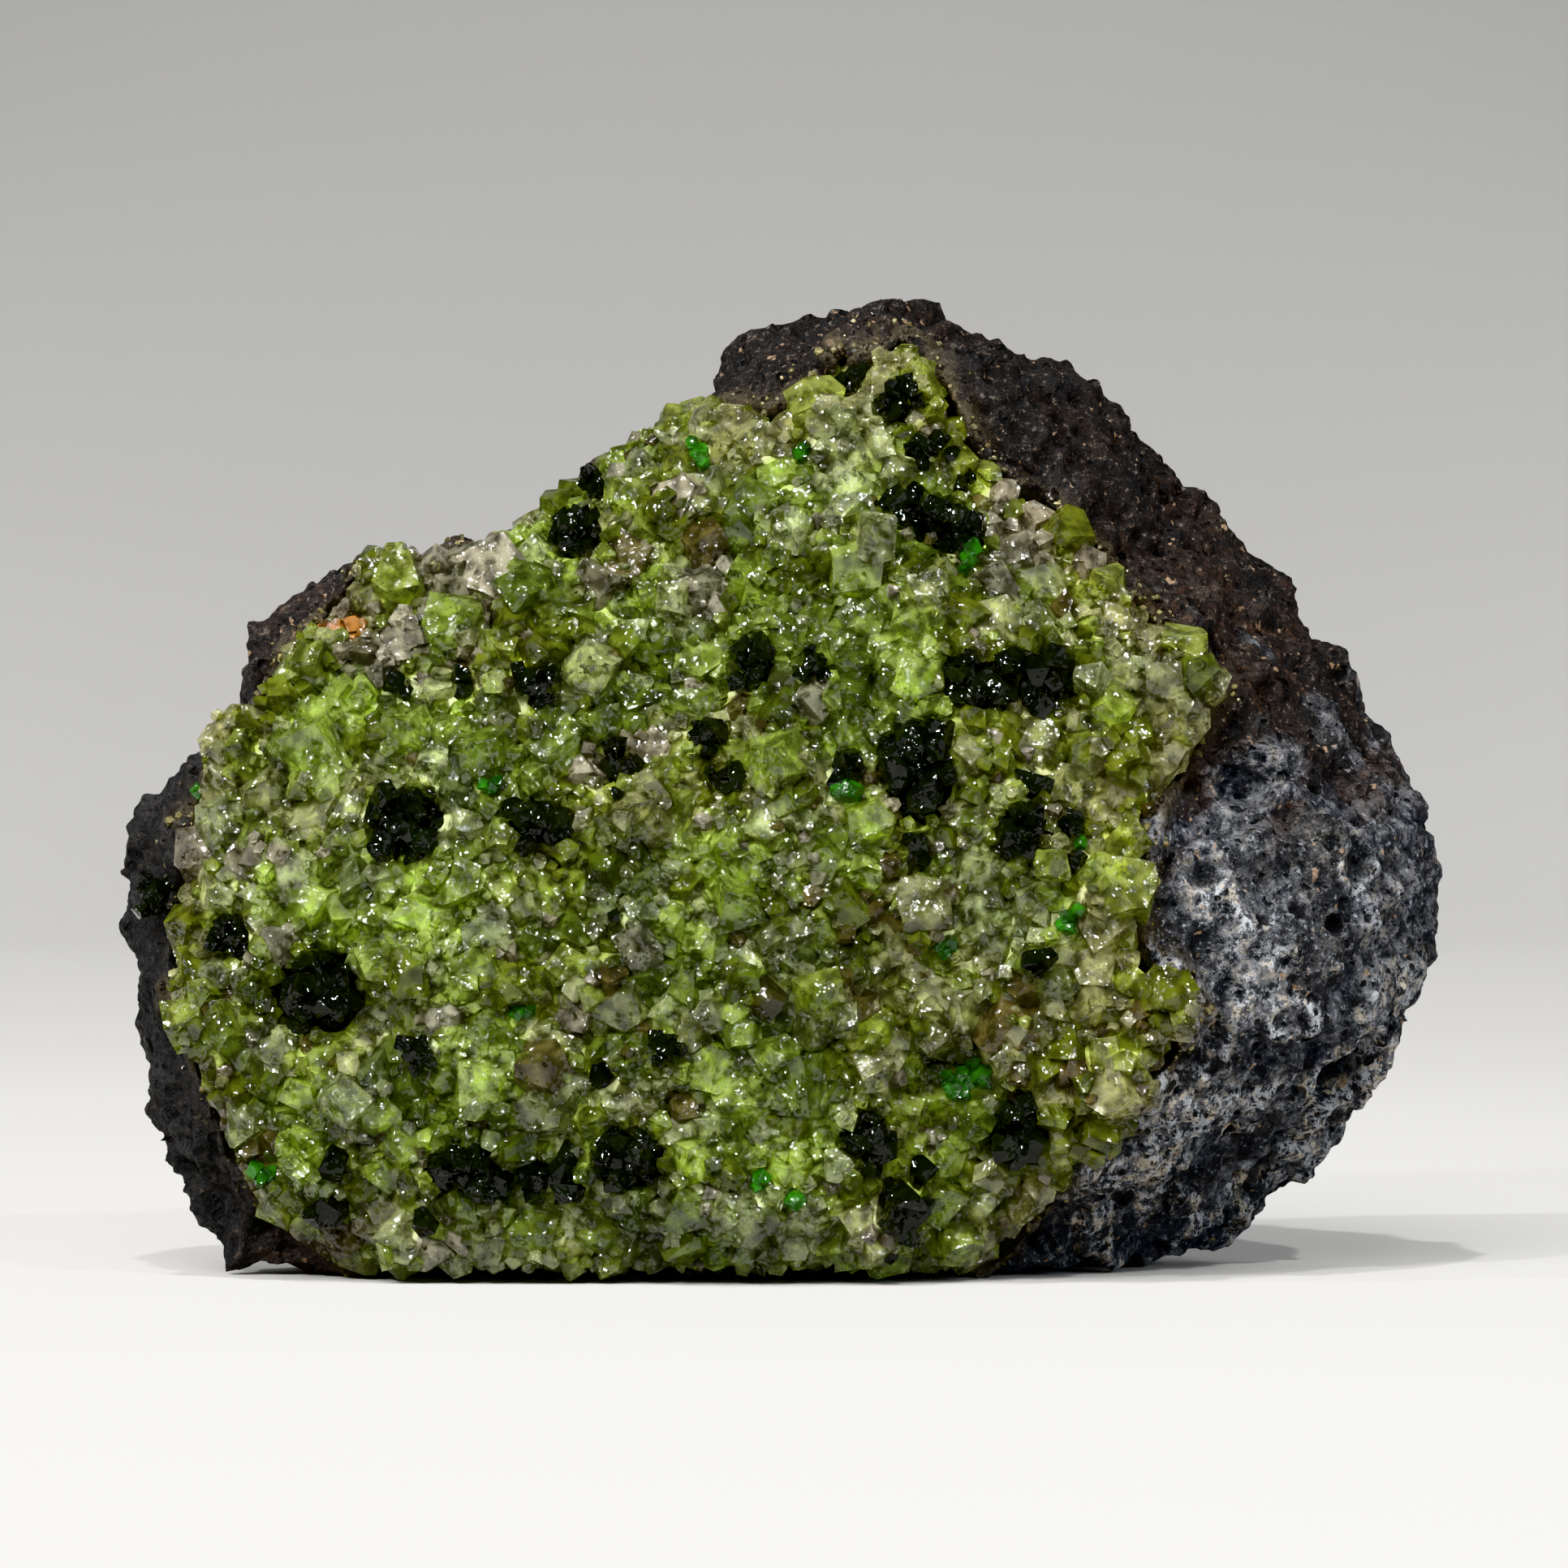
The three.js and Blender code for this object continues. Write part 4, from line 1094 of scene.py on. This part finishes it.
# Pieces of crystal: their minerals, finish, slot, and least and most planes of a crystal (the last one is left out).
GRAIN_PIECES = {
    "peridot_crystals": (("lime",), "Clear peridot", "peridot", (8, 11)),
    "pale_peridot_crystals": (("pale",), "Pale peridot", "peridot", (8, 11)),
    "deep_olivine_crystals": (("olive", "brown", "grey"), "Deep olivine", "peridot", (8, 11)),
    "black_pyroxene_crystals": (("dark",), "Black pyroxene", "black_crystal", (7, 10)),
    "chrome_diopside_crystals": (("emerald",), "Chrome diopside", "peridot", (8, 11)),
    "rusty_crystal": (("amber",), "Rusty crystal", "peridot", (8, 11)),
}


def throw_loose_grains(bed, crust, random, rind):
    """Sets small separate grains on the ground."""
    sizes = bpy.context.scene.specimen_crystals
    first = bed.count
    for point, normal in zip(*surface_points(crust, sizes.loose_count * 6, random)):
        if bed.count - first >= sizes.loose_count:
            break
        radius = random.uniform(*LOOSE_RADII) * MM * sizes.size
        centre = point - normal * radius * random.uniform(*LOOSE_SINK)
        inside = LOW_CORNER.y + radius < centre[1] < LOOSE_BEFORE and centre[2] > radius * CLEAR_OF_FLOOR
        near = bed.centres[first:bed.count] - centre
        room = np.sqrt((near * near).sum(axis=1)) > LOOSE_SPACING * (bed.radii[first:bed.count] + radius)
        if inside and room.all():
            mineral = mineral_at(point, random)
            if mineral in PATCH_MINERALS:
                bed.put(centre, radius, mineral)
                bed.colours.append(body_colour(mineral, centre, random, rind))


def make_grains():
    """All crystals of the face: the ground and the pieces that stand out of it."""
    sizes = bpy.context.scene.specimen_crystals
    random = np.random.default_rng(sizes.seed)
    mass = merged_copy("peridot_mass", "mass_shape")
    basalt = merged_copy("basalt_matrix", "basalt_shape")
    bed = GrainBed(sizes.closeness)
    place_grains(bed, mass, basalt, random)
    rind = tree_of(basalt)
    for mineral, centre in zip(bed.minerals, bed.centres):
        bed.colours.append(body_colour(mineral, centre, random, rind))
    throw_loose_grains(bed, make_crust(bed, mass), random, rind)
    for name, (minerals, finish, slot, planes) in GRAIN_PIECES.items():
        members = bed.members(minerals)
        if not members:
            raise RuntimeError(f"no grains for {name}")
        piece = link(name, grain_mesh(name, bed, members, random, planes))
        piece.data.materials.append(crystal_material(finish))
        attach(piece, BODY)
        if slot == "black_crystal":
            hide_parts(*BLACK_NODES)
    for helper in (mass, basalt):
        bpy.data.objects.remove(helper)


def make_stage():
    """Pale floor, soft lights and the camera."""
    settings = bpy.context.scene.specimen_stage
    make_floor(tuple(settings.floor))
    make_lights(settings)
    make_camera(settings)


def make_floor(tint):
    """A broad floor that sweeps up far behind."""
    profile = [(-FLOOR_HALF, 0.0), (FLOOR_BACK, 0.0)]
    for step in range(1, BEND_STEPS + 1):
        angle = math.radians(90 * step / BEND_STEPS)
        profile.append((FLOOR_BACK + FLOOR_BEND * math.sin(angle), FLOOR_BEND * (1 - math.cos(angle))))
    profile.append((FLOOR_BACK + FLOOR_BEND, FLOOR_HALF))
    corners = [(x, y, z) for x in (-FLOOR_HALF, FLOOR_HALF) for y, z in profile]
    count = len(profile)
    mesh = bpy.data.meshes.new("floor")
    mesh.from_pydata(corners, [], [(i, i + count, i + count + 1, i + 1) for i in range(count - 1)])
    mesh.shade_smooth()
    material = bpy.data.materials.new("Pale floor")
    material.use_nodes = True
    shader = material.node_tree.nodes["Principled BSDF"]
    shader.inputs["Base Color"].default_value = tint
    shader.inputs["Roughness"].default_value = 0.85
    mesh.materials.append(material)
    link("floor", mesh)


def add_light(name, place, size, power, tint, mirrored):
    """A square light aimed at the middle of the lump; an unmirrored one shows in no gloss."""
    data = bpy.data.lights.new(name, "AREA")
    data.size = size
    data.energy = power
    data.color = tint
    light = link(name, data)
    light.location = place
    light.rotation_euler = (MIDDLE - Vector(place)).to_track_quat("-Z", "Y").to_euler()
    light.visible_glossy = mirrored


def make_lights(settings):
    """Broad soft lights, small lights for crisp glints, and faint surroundings."""
    for name, (place, size, share, tint) in SOFT_LIGHTS.items():
        add_light(name, place, size, settings.key * share, tint, False)
    for index, place in enumerate(GLINT_PLACES):
        add_light(f"glint_{index + 1}", place, GLINT_SIZE, settings.glint, (1, 1, 1), True)
    world = bpy.data.worlds.new("Surroundings")
    bpy.context.scene.world = world
    world.use_nodes = True
    background = world.node_tree.nodes["Background"]
    background.inputs["Color"].default_value = SKY_COLOUR
    background.inputs["Strength"].default_value = settings.sky


def make_camera(settings):
    """Camera at the height angle and framing of a straight front view."""
    data = bpy.data.cameras.new("camera")
    data.lens = settings.lens
    data.sensor_width = SENSOR_WIDTH
    width = HIGH_CORNER.x - LOW_CORNER.x
    distance = width / settings.fill * data.lens / data.sensor_width
    data.clip_start = 0.01
    bpy.context.scene.view_settings.view_transform = "Khronos PBR Neutral"
    camera = link("camera", data)
    aim = Vector((0.0, 0.0, MIDDLE.z - AIM_DROP))
    direction = Vector((0, -math.cos(settings.elevation), math.sin(settings.elevation)))
    camera.location = aim + direction * distance
    camera.rotation_euler = (-direction).to_track_quat("-Z", "Y").to_euler()
    bpy.context.scene.camera = camera


class SPECIMEN_OT_basalt(bpy.types.Operator):
    """Build the basalt rind"""

    bl_idname = "specimen.basalt"
    bl_label = "Basalt rind"

    def execute(self, context):
        make_basalt()
        return {"FINISHED"}


class SPECIMEN_OT_grains(bpy.types.Operator):
    """Build the grains of the crystal face"""

    bl_idname = "specimen.grains"
    bl_label = "Crystal grains"

    def execute(self, context):
        make_grains()
        return {"FINISHED"}


class SPECIMEN_OT_grit(bpy.types.Operator):
    """Scatter grit where the rind meets the crystals"""

    bl_idname = "specimen.grit"
    bl_label = "Fringe grit"

    def execute(self, context):
        make_grit()
        return {"FINISHED"}


class SPECIMEN_OT_stage(bpy.types.Operator):
    """Build the floor, the lights and the camera"""

    bl_idname = "specimen.stage"
    bl_label = "Stage"

    def execute(self, context):
        make_stage()
        return {"FINISHED"}


OPERATORS = (SPECIMEN_OT_basalt, SPECIMEN_OT_grains, SPECIMEN_OT_grit, SPECIMEN_OT_stage)
SETTINGS = {
    "specimen_basalt": BasaltSettings,
    "specimen_crystals": CrystalSettings,
    "specimen_stage": StageSettings,
}


class SPECIMEN_PT_panel(bpy.types.Panel):
    """Lists the steps that build the specimen"""

    bl_label = "Specimen"
    bl_idname = "SPECIMEN_PT_panel"
    bl_space_type = "VIEW_3D"
    bl_region_type = "UI"
    bl_category = "Specimen"

    def draw(self, context):
        for step in OPERATORS:
            self.layout.operator(step.bl_idname)


def register():
    for kind in (*SETTINGS.values(), *OPERATORS, SPECIMEN_PT_panel):
        bpy.utils.register_class(kind)
    for name, kind in SETTINGS.items():
        setattr(bpy.types.Scene, name, PointerProperty(type=kind))


def unregister():
    for name in SETTINGS:
        delattr(bpy.types.Scene, name)
    for kind in (SPECIMEN_PT_panel, *reversed(OPERATORS), *reversed(SETTINGS.values())):
        bpy.utils.unregister_class(kind)


def main():
    register()
    bpy.ops.specimen.stage()
    bpy.ops.specimen.basalt()
    bpy.ops.specimen.grains()
    bpy.ops.specimen.grit()


if __name__ == "__main__":
    main()
